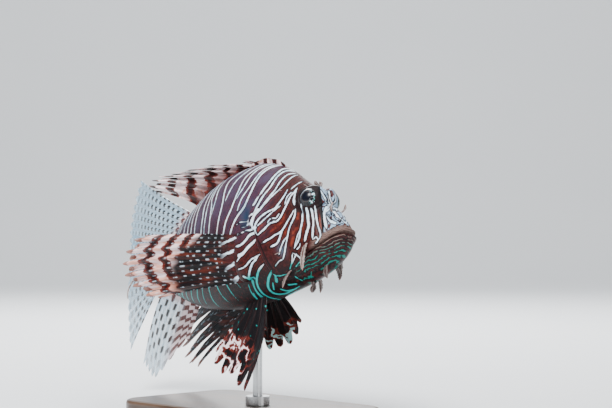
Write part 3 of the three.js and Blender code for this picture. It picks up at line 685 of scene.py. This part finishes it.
def spiny_dorsal(t, s):
    """Spines from the back's line to tips on one slowly climbing line; their height is a power of s."""
    back = mix(SPINES["first"], SPINES["last"], t)
    spread = 1 - (1 - t) ** SPINE_TIPS["crowding"]
    tip_back = SPINE_TIPS["back"] + SPINE_TIPS["spread"] * spread
    tip_up = SPINE_TIPS["up"] + SPINE_TIPS["rise"] * spread**0.8 - SPINE_TIPS["drop"] * t**5
    return stack(-mix(back, tip_back, s), -(2 + 5 * t) * s,
                 mix(top_at(back) - 3.5, tip_up, np.maximum(s, 0) ** SPINES["flatten"]))


SOFT_DORSAL = dict(root=(158, 203), length=95, rise=(23, 1))
ANAL = dict(root=(148, 205), length=(26, 72), fall=(56, 44))
CAUDAL = dict(length=77, open=28)
CREST = dict(root=(47, 98), height=8.2)


def soft_dorsal(t, s):
    """A rounded fan behind the spines: the rays turn from rise's first angle to its second, and their
    length is a half sine less a square."""
    back = mix(*SOFT_DORSAL["root"], t)
    length = SOFT_DORSAL["length"] + 4 * np.sin(np.pi * t) - 30 * t * t
    rise = np.radians(mix(*SOFT_DORSAL["rise"], t))
    return stack(-back - np.cos(rise) * s * length, -8 * s,
                 top_at(back) - 3 + np.sin(rise) * s * length + 3 * s)


def anal(t, s):
    """A rounded fan under the tail: the rays grow with a smooth step and bow back by a half sine."""
    back = mix(*ANAL["root"], t)
    length = mix(*ANAL["length"], smoothstep(t, -0.05, 0.6)) - 4 * t**4
    fall = np.radians(mix(*ANAL["fall"], t))
    return stack(-back - np.cos(fall) * s * length - 6 * t * np.sin(np.pi * s), 0 * s,
                 bottom_at(back) + 3 - np.sin(fall) * s * length - 3 * s)


def caudal(t, s):
    """A fan of rays from the tail's root, opening with the power 0.4 of the way out."""
    fan = np.radians(mix(CAUDAL["open"], -CAUDAL["open"], t))
    length = CAUDAL["length"] + 4 * np.cos(fan * 2)
    return stack(-TAIL_ROOT + 7 - np.cos(fan * s**0.4) * s * length, 0 * s,
                 mix(10, -10, t) + np.sin(fan) * s * length)


def crest(t, s):
    """The membrane of the first spines, a low arch along the nape: its height is the root of a half sine."""
    back = mix(*CREST["root"], t)
    height = CREST["height"] * np.sqrt(np.clip(np.sin(np.pi * t**0.75), 0, 1)) * (1 - 0.25 * t)
    return stack(-back - 3 * s, -0.6 - 1.6 * s, top_at(back) - 3.4 + s * height)


SPINE_BAND_BACKS = [65, 80, 95, 110, 123, 147, 172, 200, 225]


def spine_bands(ray, s, back):
    """Whole numbers at the pale bands' middles, by distance back, with a little shift from ray to ray."""
    return np.interp(back, SPINE_BAND_BACKS, np.arange(-1, 8)) + 0.1 * np.sin(ray * 2.3)


def nape_bands(ray, s, back):
    """A band every 9 mm of the distance back."""
    return back / 9


def breast_bands(ray, s, back):
    """Whole numbers at the pale bands' middles: a square of s, so that the bands widen towards the tips."""
    return 12.1 * s - 4.46 * s**2 - 0.15 + 0.09 * np.sin(np.round(ray) * 2.1)


def spot_rows(count):
    """Spots at equal steps along each ray, set off by half a step on every other ray."""
    return lambda ray, s, back: count * s + 0.5 * np.round(ray)


# Eyes


def eye_piece(side):
    """A ball of rings round an axis that points outwards and a little forwards."""
    rows, columns = 60, 96
    polar = np.pi * np.arange(1, rows) / rows
    around = 2 * np.pi * np.arange(columns) / columns
    polar, around = np.meshgrid(polar, around, indexing="ij")
    axis = unit(np.array([EYE["ahead"], side, EYE["above"]]))
    up = unit(np.array([0, 0, 1]) - axis * axis[2])
    forward = np.cross(axis, up) * side
    heading = (np.cos(polar)[..., None] * axis + (np.sin(polar) * np.cos(around))[..., None] * forward
               + (np.sin(polar) * np.sin(around))[..., None] * up)
    centre = np.array([-EYE["back"], side * EYE["side"], EYE["up"]])
    grid = (centre + EYE["radius"] * heading).reshape(-1, 3)
    points = np.concatenate([grid, [centre + axis * EYE["radius"]], [centre - axis * EYE["radius"]]])
    values = dict(polar=np.append(np.degrees(polar), [0, 180]),
                  ahead=np.append(np.sin(polar) * np.cos(around), [0, 0]),
                  above=np.append(np.sin(polar) * np.sin(around), [0, 0]))
    quads, triangles = ring_faces(rows - 1, columns)
    name = "eyeball_left" if side > 0 else "eyeball_right"
    return make_piece(name, placed(points), quads, triangles, values)


# Flaps and thorns: distance back, height, way into the skin, reach (ahead, outwards, up), half width, shade

FLAPS = [
    (25, 33, -1, (-3, 3, 5), 1.5, 0.5),  # brow
    (10, 14.5, -1, (3, 2, 6), 1.1, 0.35),  # nostril
    (24, -4, -1.4, (1, 4, -19), 2.2, 0.4),  # corner of the mouth
    (39, -20, -1.4, (-3, 5, -12), 1.6, 0.6),  # cheek
    (14, -19, -1.6, (2, 1, -9), 2, 0.85),  # chin
    (30, -27.5, -1.6, (-2, 2, -7), 1.6, 0.8),  # throat
]
THORNS = [
    (33, 34, -1.5, (-6, 1, 2.5), 1.3, 0.2),
    (17, 22, -1.5, (-4, 1, 3.5), 1.1, 0.1),
    (46, 32, -1.5, (-5.5, 2.5, 0.5), 1.2, 0.2),
    (42, -8, -1.5, (-5, 3, -2), 1.3, 0.3),
]
THREAD = dict(ray=8, reach=(-9, 0, -12), width=0.5)  # hangs from the tip of a ray of the near breast fin


def on_flank(side, back, up, out):
    return np.array([-back, side * (side_at(back, up) + out), up])


def leaf(root, side, reach, width, shade, curl=1.5, fringe=0.0):
    """A flattened tube along a bowed line: its half width follows a leaf's outline with a fringed edge."""
    rows, columns, thick = 40, 28, 0.6
    s = np.linspace(0, 1, rows)[:-1]
    line = root + np.stack([reach[0] * s, side * (reach[1] * s + curl * np.sin(np.pi * s)), reach[2] * s], -1)
    end = root + np.array([reach[0], side * reach[1], reach[2]])
    heading = unit(np.gradient(np.concatenate([line, [end]]), axis=0))[:-1]
    across = unit(np.array([1, 0, 0.3]) - heading * (heading @ np.array([1, 0, 0.3]))[:, None])
    thin = np.cross(across, heading)
    around = 2 * np.pi * np.arange(columns) / columns
    ragged = 1 + fringe * (np.sin(s * 38) + np.sin(s * 71 + root[0]))
    outline = (0.8 + 0.75 * s - 1.55 * s**4) * ragged
    wide = width * outline[:, None, None] * np.cos(around)[None, :, None]
    deep = thick * (1 - 0.6 * s)[:, None, None] * np.sin(around)[None, :, None]
    grid = line[:, None] + across[:, None] * wide + thin[:, None] * deep
    points = np.concatenate([grid.reshape(-1, 3), [root], [end]])
    values = dict(out=np.append(np.repeat(s, columns), [0, 1]),
                  off=np.append(np.tile(np.cos(around), rows - 1), [0, 0]),
                  shade=np.full(len(points), shade))
    return points, *ring_faces(rows - 1, columns), values


def joined(name, parts):
    """Several closed shapes in one mesh."""
    counts = np.cumsum([0] + [len(part[0]) for part in parts[:-1]])
    points, quads, triangles, values = zip(*parts)
    return make_piece(name, placed(np.concatenate(points)),
                      np.concatenate([quad + count for quad, count in zip(quads, counts)]),
                      np.concatenate([triangle + count for triangle, count in zip(triangles, counts)]),
                      {key: np.concatenate([value[key] for value in values]) for key in values[0]})


# Finishes

TAU = 2 * math.pi
MIX_A, MIX_B, MIX_RESULT = 6, 7, 2  # sockets of a Mix node when it mixes colours


class Wire:
    """A value, colour or direction that runs between a finish's nodes. Arithmetic on it adds Math nodes."""

    def __init__(self, finish, socket):
        self.finish, self.socket = finish, socket

    def math(self, operation, *values):
        return self.finish.node("ShaderNodeMath", dict(operation=operation), dict(enumerate(values)))

    def __add__(self, other):
        return self.math("ADD", self, other)

    def __sub__(self, other):
        return self.math("SUBTRACT", self, other)

    def __rsub__(self, other):
        return self.math("SUBTRACT", other, self)

    def __mul__(self, other):
        return self.math("MULTIPLY", self, other)

    __radd__, __rmul__ = __add__, __mul__

    def cosine(self):
        return self.math("COSINE", self)

    def size(self):
        return self.math("ABSOLUTE", self)

    def off_whole(self):
        """How far the value is from the nearest whole number."""
        return self.math("PINGPONG", self, 0.5)

    def larger(self, other):
        return self.math("MAXIMUM", self, other)

    def past(self, low, high):
        """0 below low and 1 above high, with a smooth step between."""
        return self.finish.node("ShaderNodeMapRange", dict(interpolation_type="SMOOTHSTEP"),
                                {"Value": self, "From Min": low, "From Max": high})

    def within(self, low, high):
        return 1 - self.past(low, high)


class Finish:
    """One procedural material, read in object coordinates and by the values on a piece's vertices."""

    def __init__(self, name, constants):
        self.material = bpy.data.materials.new(name)
        self.material.use_nodes = True
        self.tree = self.material.node_tree
        self.shader = self.tree.nodes["Principled BSDF"]
        for key, value in constants.items():
            self.shader.inputs[key].default_value = value
        self.place = self.node("ShaderNodeTexCoord", {}, {}, "Object")

    def node(self, kind, settings, inputs, output=0):
        made = self.tree.nodes.new(kind)
        for key, value in settings.items():
            setattr(made, key, value)
        for key, value in inputs.items():
            self.feed(made.inputs[key], value)
        return Wire(self, made.outputs[output])

    def feed(self, socket, value):
        if isinstance(value, Wire):
            self.tree.links.new(value.socket, socket)
        elif socket.type == "RGBA":
            socket.default_value = (*value, 1)
        else:
            socket.default_value = value

    def value(self, name):
        return self.node("ShaderNodeAttribute", dict(attribute_name=name), {}, "Fac")

    def along_uv(self):
        """The ray's number and the share of its length, from the piece's own UV map."""
        uv = self.node("ShaderNodeUVMap", dict(uv_map="own"), {})
        return [self.node("ShaderNodeSeparateXYZ", {}, {0: uv}, axis) for axis in ("X", "Y")]

    def noise(self, scale, detail=2, stretch=(1, 1, 1)):
        at = self.node("ShaderNodeVectorMath", dict(operation="MULTIPLY"), {0: self.place, 1: stretch})
        return self.node("ShaderNodeTexNoise", {}, {"Vector": at, "Scale": scale, "Detail": detail})

    def cells(self, scale):
        """Distance to the nearest of many scattered points, for scales and dots."""
        return self.node("ShaderNodeTexVoronoi", {}, {"Vector": self.place, "Scale": scale})

    def blend(self, share, a, b):
        return self.node("ShaderNodeMix", dict(data_type="RGBA"), {0: share, MIX_A: a, MIX_B: b}, MIX_RESULT)

    def layers(self, colour, *over):
        """Pairs of a share and a colour, laid over the first colour in turn."""
        for share, laid in over:
            colour = self.blend(share, colour, laid)
        return colour

    def paint(self, colour, roughness=None, height=None, depth=0, alpha=None):
        """Joins the finish to its shader: depth is the bump's height in metres."""
        self.feed(self.shader.inputs["Base Color"], colour)
        if roughness is not None:
            self.feed(self.shader.inputs["Roughness"], roughness)
        if alpha is not None:
            self.feed(self.shader.inputs["Alpha"], alpha)
        if height is not None:
            bump = self.node("ShaderNodeBump", {}, {"Height": height, "Distance": depth, "Strength": 1})
            self.feed(self.shader.inputs["Normal"], bump)
        return self.material


JAW_LINE_STEP = 2.2  # millimetres from one of the jaw's fine lines to the next
LIP_LINE_STEP = 1.5
SKIN_RELIEF = 0.00014  # heights of the reliefs, in metres
FIN_RELIEF = 0.0002


def skin_finish():
    """White lines with dark borders on the flanks, under a painted purple sheen of the light from above on
    their upper part, and dark russet cheeks with some rust in them. Below, the ground is nearly black and the
    lines are teal, a painted tint of the light on the underside; the jaw has fine broken lines along it, grey
    brown near the lips and the same painted teal further down; the snout is bluish white with dark strokes,
    and the lips are grey brown."""
    f = Finish("lionfish_skin", {"Specular IOR Level": 0.16})
    broad, medium, fine = f.noise(75, 3), f.noise(420, 3), f.noise(1600, 2)
    waver = (medium - 0.5) * 0.7
    line, mark, warm = (f.value(name) + waver for name in ("line", "mark", "warm"))
    top_sheen, under, jaw, deep = (f.value(name) for name in ("top_sheen", "under", "jaw", "depth"))
    depth = deep + (broad - 0.5) * 7 + waver * 2
    jaw_lines = (depth * (TAU / JAW_LINE_STEP)).cosine()
    lip_lines = (depth * (TAU / LIP_LINE_STEP)).cosine()
    broken = f.noise(260, 2).past(0.36, 0.5)
    strokes = f.noise(330, 1, (1, 1, 0.45))
    ground = f.layers(
        f.blend(medium.past(0.36, 0.62), RUSSET, CHOCOLATE),
        # painted purple sheen of the light from above on the upper flanks
        (top_sheen * (broad.within(0.3, 0.7) * 0.5 + 0.5), SHEEN_PLUM),
        (line.past(0.7, 1.2) * line.within(1.4, 2.4) * medium.past(0.45, 0.65) * 0.45, RUST),
        (fine.past(0.5, 0.8) * 0.4, CHOCOLATE),
        (f.value("mask") * 0.85, SOOT),
        (warm.within(-0.8, 0.9) * medium.past(0.3, 0.6) * 0.8, EMBER),
        (f.value("patch") * 0.75, SLATE),
        (under * 0.95, f.blend(medium.past(0.5, 0.7), SOOT, RUSSET)),
        # away from the lip the jaw's lines turn teal: a painted tint of the light on the chin
        (jaw * jaw_lines.past(0.5, 0.9) * broken, f.blend(deep.past(3, 9), LIP_GREY, DEEP_TEAL)),
        (jaw * jaw_lines.within(-0.95, -0.6) * 0.6, RUSSET),
        (f.value("lip"), f.blend(lip_lines.past(0.3, 0.9) * 0.6, LIP_GREY, CHOCOLATE)),
        (f.value("snout"), f.blend(strokes.past(0.52, 0.58), PEARL, RUSSET)),
        (line.within(0.4, 1.1) * 0.85, DARK),
    )
    white = f.blend(medium.past(0.4, 0.62) * 0.6, MILK, f.blend(broad.past(0.4, 0.6), SKY, ROSE))
    colour = f.layers(
        ground,
        # the lines turn teal on the underside: a painted tint of the light there
        ((line + (1 - top_sheen) * 0.15).within(-0.12, 0.2), f.blend(under.past(0.3, 0.7), white, TEAL)),
        (mark.within(-0.1, 0.15), SOOT),
        # painted shade in the hollow behind the gill cover's corner
        (f.value("pit") * 0.8, HOLLOW_SHADE_BLUE),
    )
    scales = f.cells(950)
    relief = scales * 0.6 + fine * 0.5 + line.within(-0.3, 0.5) * 0.4
    return f.paint(colour, medium * 0.2 + 0.34, relief, SKIN_RELIEF)


def spine_finish():
    """Pale pink and dark red bands across the spines, darker at the foot, with painted shade along each
    spine's edges and in the web between the spines.
    """
    f = Finish("banded_spines", {"Specular IOR Level": 0.2})
    s = f.along_uv()[1]
    medium, fine = f.noise(260, 3), f.noise(1300, 2, (0.3, 1, 1))
    wave = ((f.value("band") + (medium - 0.5) * 0.3) * TAU).cosine()
    pale = wave.past(-0.25, 0.05) * (1 - s.within(0.12, 0.4) * 0.85)
    colour = f.layers(
        f.blend(wave.within(-0.9, -0.5), WINE, CHOCOLATE),
        (pale, f.blend(medium.past(0.5, 0.72), ROSE, SALMON)),
        # painted shade between the spines: darker with distance from each spine
        (f.value("spot").past(1.2, 2.6) * 0.4, CHOCOLATE),
    )
    return f.paint(colour, medium * 0.2 + 0.4, fine, FIN_RELIEF)


def breast_finish(name, start):
    """Near the root, slanting white lines as on the cheek; then nearly black web with pale dashes on the
    rays; then pink and dark red bands right across, and orange tips. The bands start at the share
    start of the first ray, and further out on each ray after it."""
    f = Finish(name, {"Specular IOR Level": 0.2})
    ray, s = f.along_uv()
    medium, fine = f.noise(260, 3), f.noise(1300, 2, (0.3, 1, 1))
    streak = f.noise(330, 3, (0.12, 1, 1))
    wave = ((f.value("band") + (medium - 0.5) * 0.25) * TAU).cosine()
    on_ray = f.value("spot").within(0.3, 0.8)
    drift = ((f.value("band") * 1.7 + f.noise(55, 1) * 2) * TAU).cosine()
    outer = (s + ray * -0.03).past(start, start + 0.14)
    root = s.within(0.1, 0.19)
    dashes = on_ray * drift.past(0.2, 0.8) * medium.past(0.4, 0.55) * (1 - root) * 0.5
    slanting = (ray + s * -15 + (medium - 0.5) * 0.8) * (1 / 3)
    colour = f.layers(
        f.blend(streak.past(0.45, 0.75) * 0.6, SOOT, RUST),
        (outer, f.blend(wave.within(-0.95, -0.6), WINE, CHOCOLATE)),
        (dashes, MILK),
        (outer * wave.past(-0.1, 0.25), f.blend((streak + ray * 0.015).past(0.5, 0.68), ROSE, SALMON)),
        (s.past(0.88, 1) * 0.5, SALMON),
        (root, f.blend(medium.past(0.4, 0.7), RUSSET, CHOCOLATE)),
        (root * slanting.off_whole().within(0.09, 0.14), MILK),
    )
    return f.paint(colour, medium * 0.2 + 0.4, fine, FIN_RELIEF)


def clear_finish(name, front_rays, veil):
    """See-through web with broad pale rays and black spots in rows on them; veil is how much the rays
    hide. The first rays, up to front_rays, and the fin's foot are banded red and pale instead."""
    f = Finish(name, {"Coat Weight": 0.1})
    ray, s = f.along_uv()
    medium = f.noise(300, 2)
    beside = ray.off_whole()
    rays = beside.within(0.27, 0.36)
    wave = ((f.value("band") + (medium - 0.5) * 0.2) * TAU).cosine()
    spots = wave.past(0, 0.25) * beside.within(0.24, 0.34) * (1 - s.past(0.6, 1) * 0.6)
    front = ray.within(front_rays, front_rays + 1.5).larger(s.within(0.05, 0.16))
    colour = f.layers(
        GLASS,
        (rays, f.blend(medium, MILK, GLASS)),
        (spots, SOOT),
        (front, f.blend(wave.past(-0.2, 0.2), ROSE, WINE)),
    )
    alpha = (rays * veil).larger(spots * 0.95).larger(front * 0.92).larger(0.42)
    return f.paint(colour, 0.35, medium, 0.0001, alpha)


def belly_fin_finish(name, light):
    """Nearly black, with small teal dots; a net of light lines edged dark red lies over the outer part,
    and only a few specks of it reach the first ray."""
    f = Finish(name, {"Specular IOR Level": 0.2})
    ray, s = f.along_uv()
    medium, broad = f.noise(300, 2), f.noise(110, 3)
    dots = f.cells(230).within(0.12, 0.19) * medium.past(0.46, 0.54)
    outer = s.past(0.42, 0.62) * (ray.past(0.5, 1.6) * 0.4 + 0.6)
    net = (broad - 0.5).size() + (1 - outer) * 0.2
    colour = f.layers(
        SOOT,
        (f.value("spot").within(0.4, 1) * 0.5, CHOCOLATE),
        (dots * (1 - outer), TEAL),
        (net.within(0.07, 0.12), WINE),
        (net.within(0.035, 0.05), light),
    )
    return f.paint(colour, 0.42, medium, FIN_RELIEF)


def flap_finish():
    """Pale skin with brown veins along it, salmon at the tip; shade darkens the whole flap."""
    f = Finish("skin_flaps", {"Coat Weight": 0.1})
    medium = f.noise(650, 2)
    veins = ((f.value("off") + (medium - 0.5) * 0.9) * (TAU * 0.9)).cosine().past(-0.1, 0.4)
    colour = f.layers(
        OATMEAL,
        (veins, UMBER),
        (f.value("out").past(0.75, 1) * 0.4, SALMON),
        (f.value("shade"), CHOCOLATE),
    )
    return f.paint(colour, 0.45, medium, FIN_RELIEF)


def eye_finish():
    """A black pupil in a thin dull ring, then a nearly black iris with faint spokes, teal and silver flecks
    ahead of the pupil and a white hook above and behind it, all under a clear coat."""
    f = Finish("lionfish_eye", {"Coat Weight": 0.25, "Coat Roughness": 0.03,
                                "Roughness": 0.3, "Specular IOR Level": 0.2})
    polar, ahead, above = f.value("polar"), f.value("ahead"), f.value("above")
    medium = f.noise(520, 3)
    angle = above.math("ARCTAN2", above, ahead)
    spokes = (angle * 14 + medium * 9).cosine().past(0, 0.6)
    flecks = f.noise(700, 1).past(0.5, 0.56) * ahead.past(0.2, 0.42)
    silver = f.blend(medium.past(0.42, 0.62), DEEP_TEAL, MILK)
    hook = (polar - 49).size().within(3, 5) * (above - ahead).past(0.3, 0.5) * above.past(0.1, 0.3)
    return f.paint(f.layers(
        SOOT,
        (spokes * 0.1, SLATE),
        (flecks, silver),
        (polar.past(52, 58), CHOCOLATE),
        (hook, MILK),
        ((polar - 29).size().within(0.6, 1.6) * 0.35, LIP_GREY),
        (polar.within(26, 28), INK),
    ))


def wood_finish():
    """Dark oiled wood: long grain drawn out along the base, in two browns, and small pores."""
    f = Finish("stand_base_wood", {"Coat Weight": 0.25, "Coat Roughness": 0.25})
    grain = f.noise(30, 5, (0.6, 9, 9))
    pores = f.noise(900, 2, (0.06, 1, 1))
    colour = f.layers(DARK_OAK, (grain.past(0.35, 0.68), OAK), (pores.past(0.62, 0.75) * 0.6, PORE))
    return f.paint(colour, grain * 0.2 + 0.3, pores, 0.00015)


def steel_finish(name):
    """Brushed steel: fine marks round the rod, and a slow change of roughness."""
    f = Finish(name, {"Metallic": 1, "Base Color": (0.6, 0.61, 0.62, 1)})
    marks = f.noise(500, 3, (0.25, 0.25, 8))
    return f.paint(f.blend(marks, (0.5, 0.51, 0.52), (0.68, 0.69, 0.7)), marks * 0.2 + 0.2, marks, 0.00004)


def floor_finish():
    """Matt pale paper, very slightly mottled."""
    f = Finish("pale_floor", {"Roughness": 0.9})
    return f.paint(f.blend(f.noise(3, 3), (0.78, 0.81, 0.84), (0.84, 0.86, 0.88)))


# Stage


def stage():
    """A pale floor whose back edge curves up into a wall: a quarter circle between two straight runs."""
    near, far, radius, wide, tall = -3.0, 2.0, 1.2, 5.0, 3.5
    bend = np.radians(np.linspace(0, 90, 25))
    run = np.concatenate([[near], far + radius * np.sin(bend), [far + radius]])
    rise = np.concatenate([[0], radius * (1 - np.cos(bend)), [tall]])
    side = np.array([-wide, wide])
    c, s = math.cos(CAMERA_TURN), math.sin(CAMERA_TURN)
    right, ahead = np.array([c, s, 0]), np.array([-s, c, 0])
    up = np.array([0, 0, 1])
    grid = side[None, :, None] * right + run[:, None, None] * ahead + rise[:, None, None] * up
    i = np.arange(len(run) - 1)
    quads = np.stack([2 * i, 2 * i + 1, 2 * i + 3, 2 * i + 2], -1)
    mesh = bpy.data.meshes.new("floor")
    mesh.from_pydata(grid.reshape(-1, 3).tolist(), [], quads.tolist())
    mesh.polygons.foreach_set("use_smooth", np.ones(len(quads), bool))
    floor = bpy.data.objects.new("floor", mesh)
    bpy.context.scene.collection.objects.link(floor)
    mesh.materials.append(floor_finish())


# Lights: name, place, watts, size across, and the place it is turned to
FISH_MIDDLE = (-0.02, 0, 0.12)
LIGHTS = [
    ("key", (0.35, -0.9, 1.25), 46, 0.6, FISH_MIDDLE),
    ("fill", (1.6, -0.1, 0.5), 9, 1.2, FISH_MIDDLE),
    ("rim", (-0.9, 0.8, 0.9), 18, 0.7, FISH_MIDDLE),
    ("wall", (-0.3, 0.3, 1.6), 60, 1.5, (-2, 1.9, 0.6)),
]
AROUND_COLOUR = (0.9, 0.95, 1, 1)
AROUND_STRENGTH = 0.24


def light(name, place, power, size, towards):
    data = bpy.data.lights.new(name, "AREA")
    data.energy = power
    data.shape = "DISK"
    data.size = size
    lamp = bpy.data.objects.new(name, data)
    lamp.location = place
    lamp.rotation_euler = (Vector(towards) - Vector(place)).to_track_quat("-Z", "Y").to_euler()
    bpy.context.scene.collection.objects.link(lamp)


stage()
for lamp in LIGHTS:
    light(*lamp)
world = bpy.data.worlds.new("world")
bpy.context.scene.world = world
world.use_nodes = True
background = world.node_tree.nodes["Background"]
background.inputs["Color"].default_value = AROUND_COLOUR
background.inputs["Strength"].default_value = AROUND_STRENGTH

# The fish


def settle(piece, finish, slot, *nodes):
    """Gives a piece its finish and its body, and hides the nodes that it stands for. slot is not used."""
    piece.data.materials.append(finish)
    if nodes:
        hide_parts(*nodes)
    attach(piece, "root")


settle(skin_piece(), skin_finish(), "fish_skin",
       "head", "lower_jaw", "gill_cover_left", "gill_cover_right", "trunk", "tail_base")

SHEET = dict(rays=13, ridge=1.8, web=0.5)
SPINE_SHEET = dict(SHEET, rows=70, strap=0.32, strap_reach=0.96, web_reach=0.42, ridge=2.6, pleat=2.6)
BREAST_SHEET = dict(SHEET, rows=80, strap=0.3, strap_reach=0.94, web_reach=0.62, pleat=2.2)
NEAR_SHEET = dict(BREAST_SHEET, strap=0.4, strap_reach=0.96, web_reach=0.76)
BELLY_SHEET = dict(SHEET, rays=6, rows=60, strap=0.32, strap_reach=0.95, web_reach=0.8, pleat=0.9)
CLEAR_SHEET = dict(rows=50, ridge=1.4, web=0.3, split=0.2)
BACK_SHEET = dict(CLEAR_SHEET, rays=11, web_reach=0.93)
ANAL_SHEET = dict(CLEAR_SHEET, rays=9, web_reach=0.92)
TAIL_SHEET = dict(CLEAR_SHEET, rays=12, web_reach=0.95)
breast_right = breast_fin(-1, longest=108, lift=7.5, droop=1, outward=12)
breast_left = breast_fin(1, longest=160, lift=-4, droop=18, outward=4)
belly_right = belly_fin(-1, 67, [1, 0.93, 0.82, 0.85, 0.79, 0.68],
                        splay=12, spread=0.6, front=88, sweep=46, bow=5)
belly_left = belly_fin(1, 43, [0.6, 0.85, 0.95, 1, 0.98, 0.9],
                       splay=56, spread=0.8, front=80, sweep=52, bow=3)
spines = spine_finish()
near_belly = belly_fin_finish("near_belly_fin", ROSE)
far_belly = belly_fin_finish("far_belly_fin", SEA_GREY)
near_breast = breast_finish("banded_breast_fin", 0.3)
# The far breast fin's dark inner part is its own pattern, but reaching much further out than on the near fin
# it is painted shade, as that fin lies in shadow.
far_breast = breast_finish("shaded_breast_fin", 0.72)
clear_back = clear_finish("clear_back_fin", -2, 0.9)
clear_tail = clear_finish("clear_tail_fin", -2, 0.7)
clear_anal = clear_finish("clear_anal_fin", 2, 0.6)
fins = [
    ("spiny_dorsal_fin", "banded_fins", spines, spiny_dorsal, spine_bands, SPINE_SHEET),
    ("soft_dorsal_fin", "clear_fins", clear_back, soft_dorsal, spot_rows(13), BACK_SHEET),
    ("anal_fin", "clear_fins", clear_anal, anal, spot_rows(6), ANAL_SHEET),
    ("tail_fin", "clear_fins", clear_tail, caudal, spot_rows(7), TAIL_SHEET),
    ("breast_fin_right", "banded_fins", near_breast, breast_right, breast_bands, NEAR_SHEET),
    ("breast_fin_left", "banded_fins", far_breast, breast_left, breast_bands, BREAST_SHEET),
    ("belly_fin_right", "dark_fins", near_belly, belly_right, spot_rows(5), BELLY_SHEET),
    ("belly_fin_left", "dark_fins", far_belly, belly_left, spot_rows(4), BELLY_SHEET),
]
for node, slot, finish, point, band, sheet in fins:
    settle(fin_piece(node + "_skin", point, band, **sheet), finish, slot, node)
nape = fin_piece("nape_crest", crest, nape_bands, rays=5, rows=24, web_reach=0.94, ridge=1.6, web=0.5)
settle(nape, spines, "banded_fins")

eyes = eye_finish()
for side, node in ((1, "eye_left"), (-1, "eye_right")):
    settle(eye_piece(side), eyes, "eyes", node)

parts = [leaf(on_flank(side, *each[:3]), side, *each[3:], **kind)
         for group, kind in ((FLAPS, dict(fringe=0.1)), (THORNS, dict(curl=0)))
         for side in (1, -1) for each in group]
tip = breast_right(np.array(THREAD["ray"] / (NEAR_SHEET["rays"] - 1)), np.array(0.97))
parts.append(leaf(tip, -1, THREAD["reach"], THREAD["width"], shade=0))
settle(joined("skin_flaps", parts), flap_finish(), "fish_skin")

for node, finish in (("stand_base", wood_finish()), ("stand_rod", steel_finish("stand_rod_steel")),
                     ("stand_collar", steel_finish("stand_collar_steel"))):
    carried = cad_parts[node]
    carried.data.materials.clear()
    carried.data.materials.append(finish)
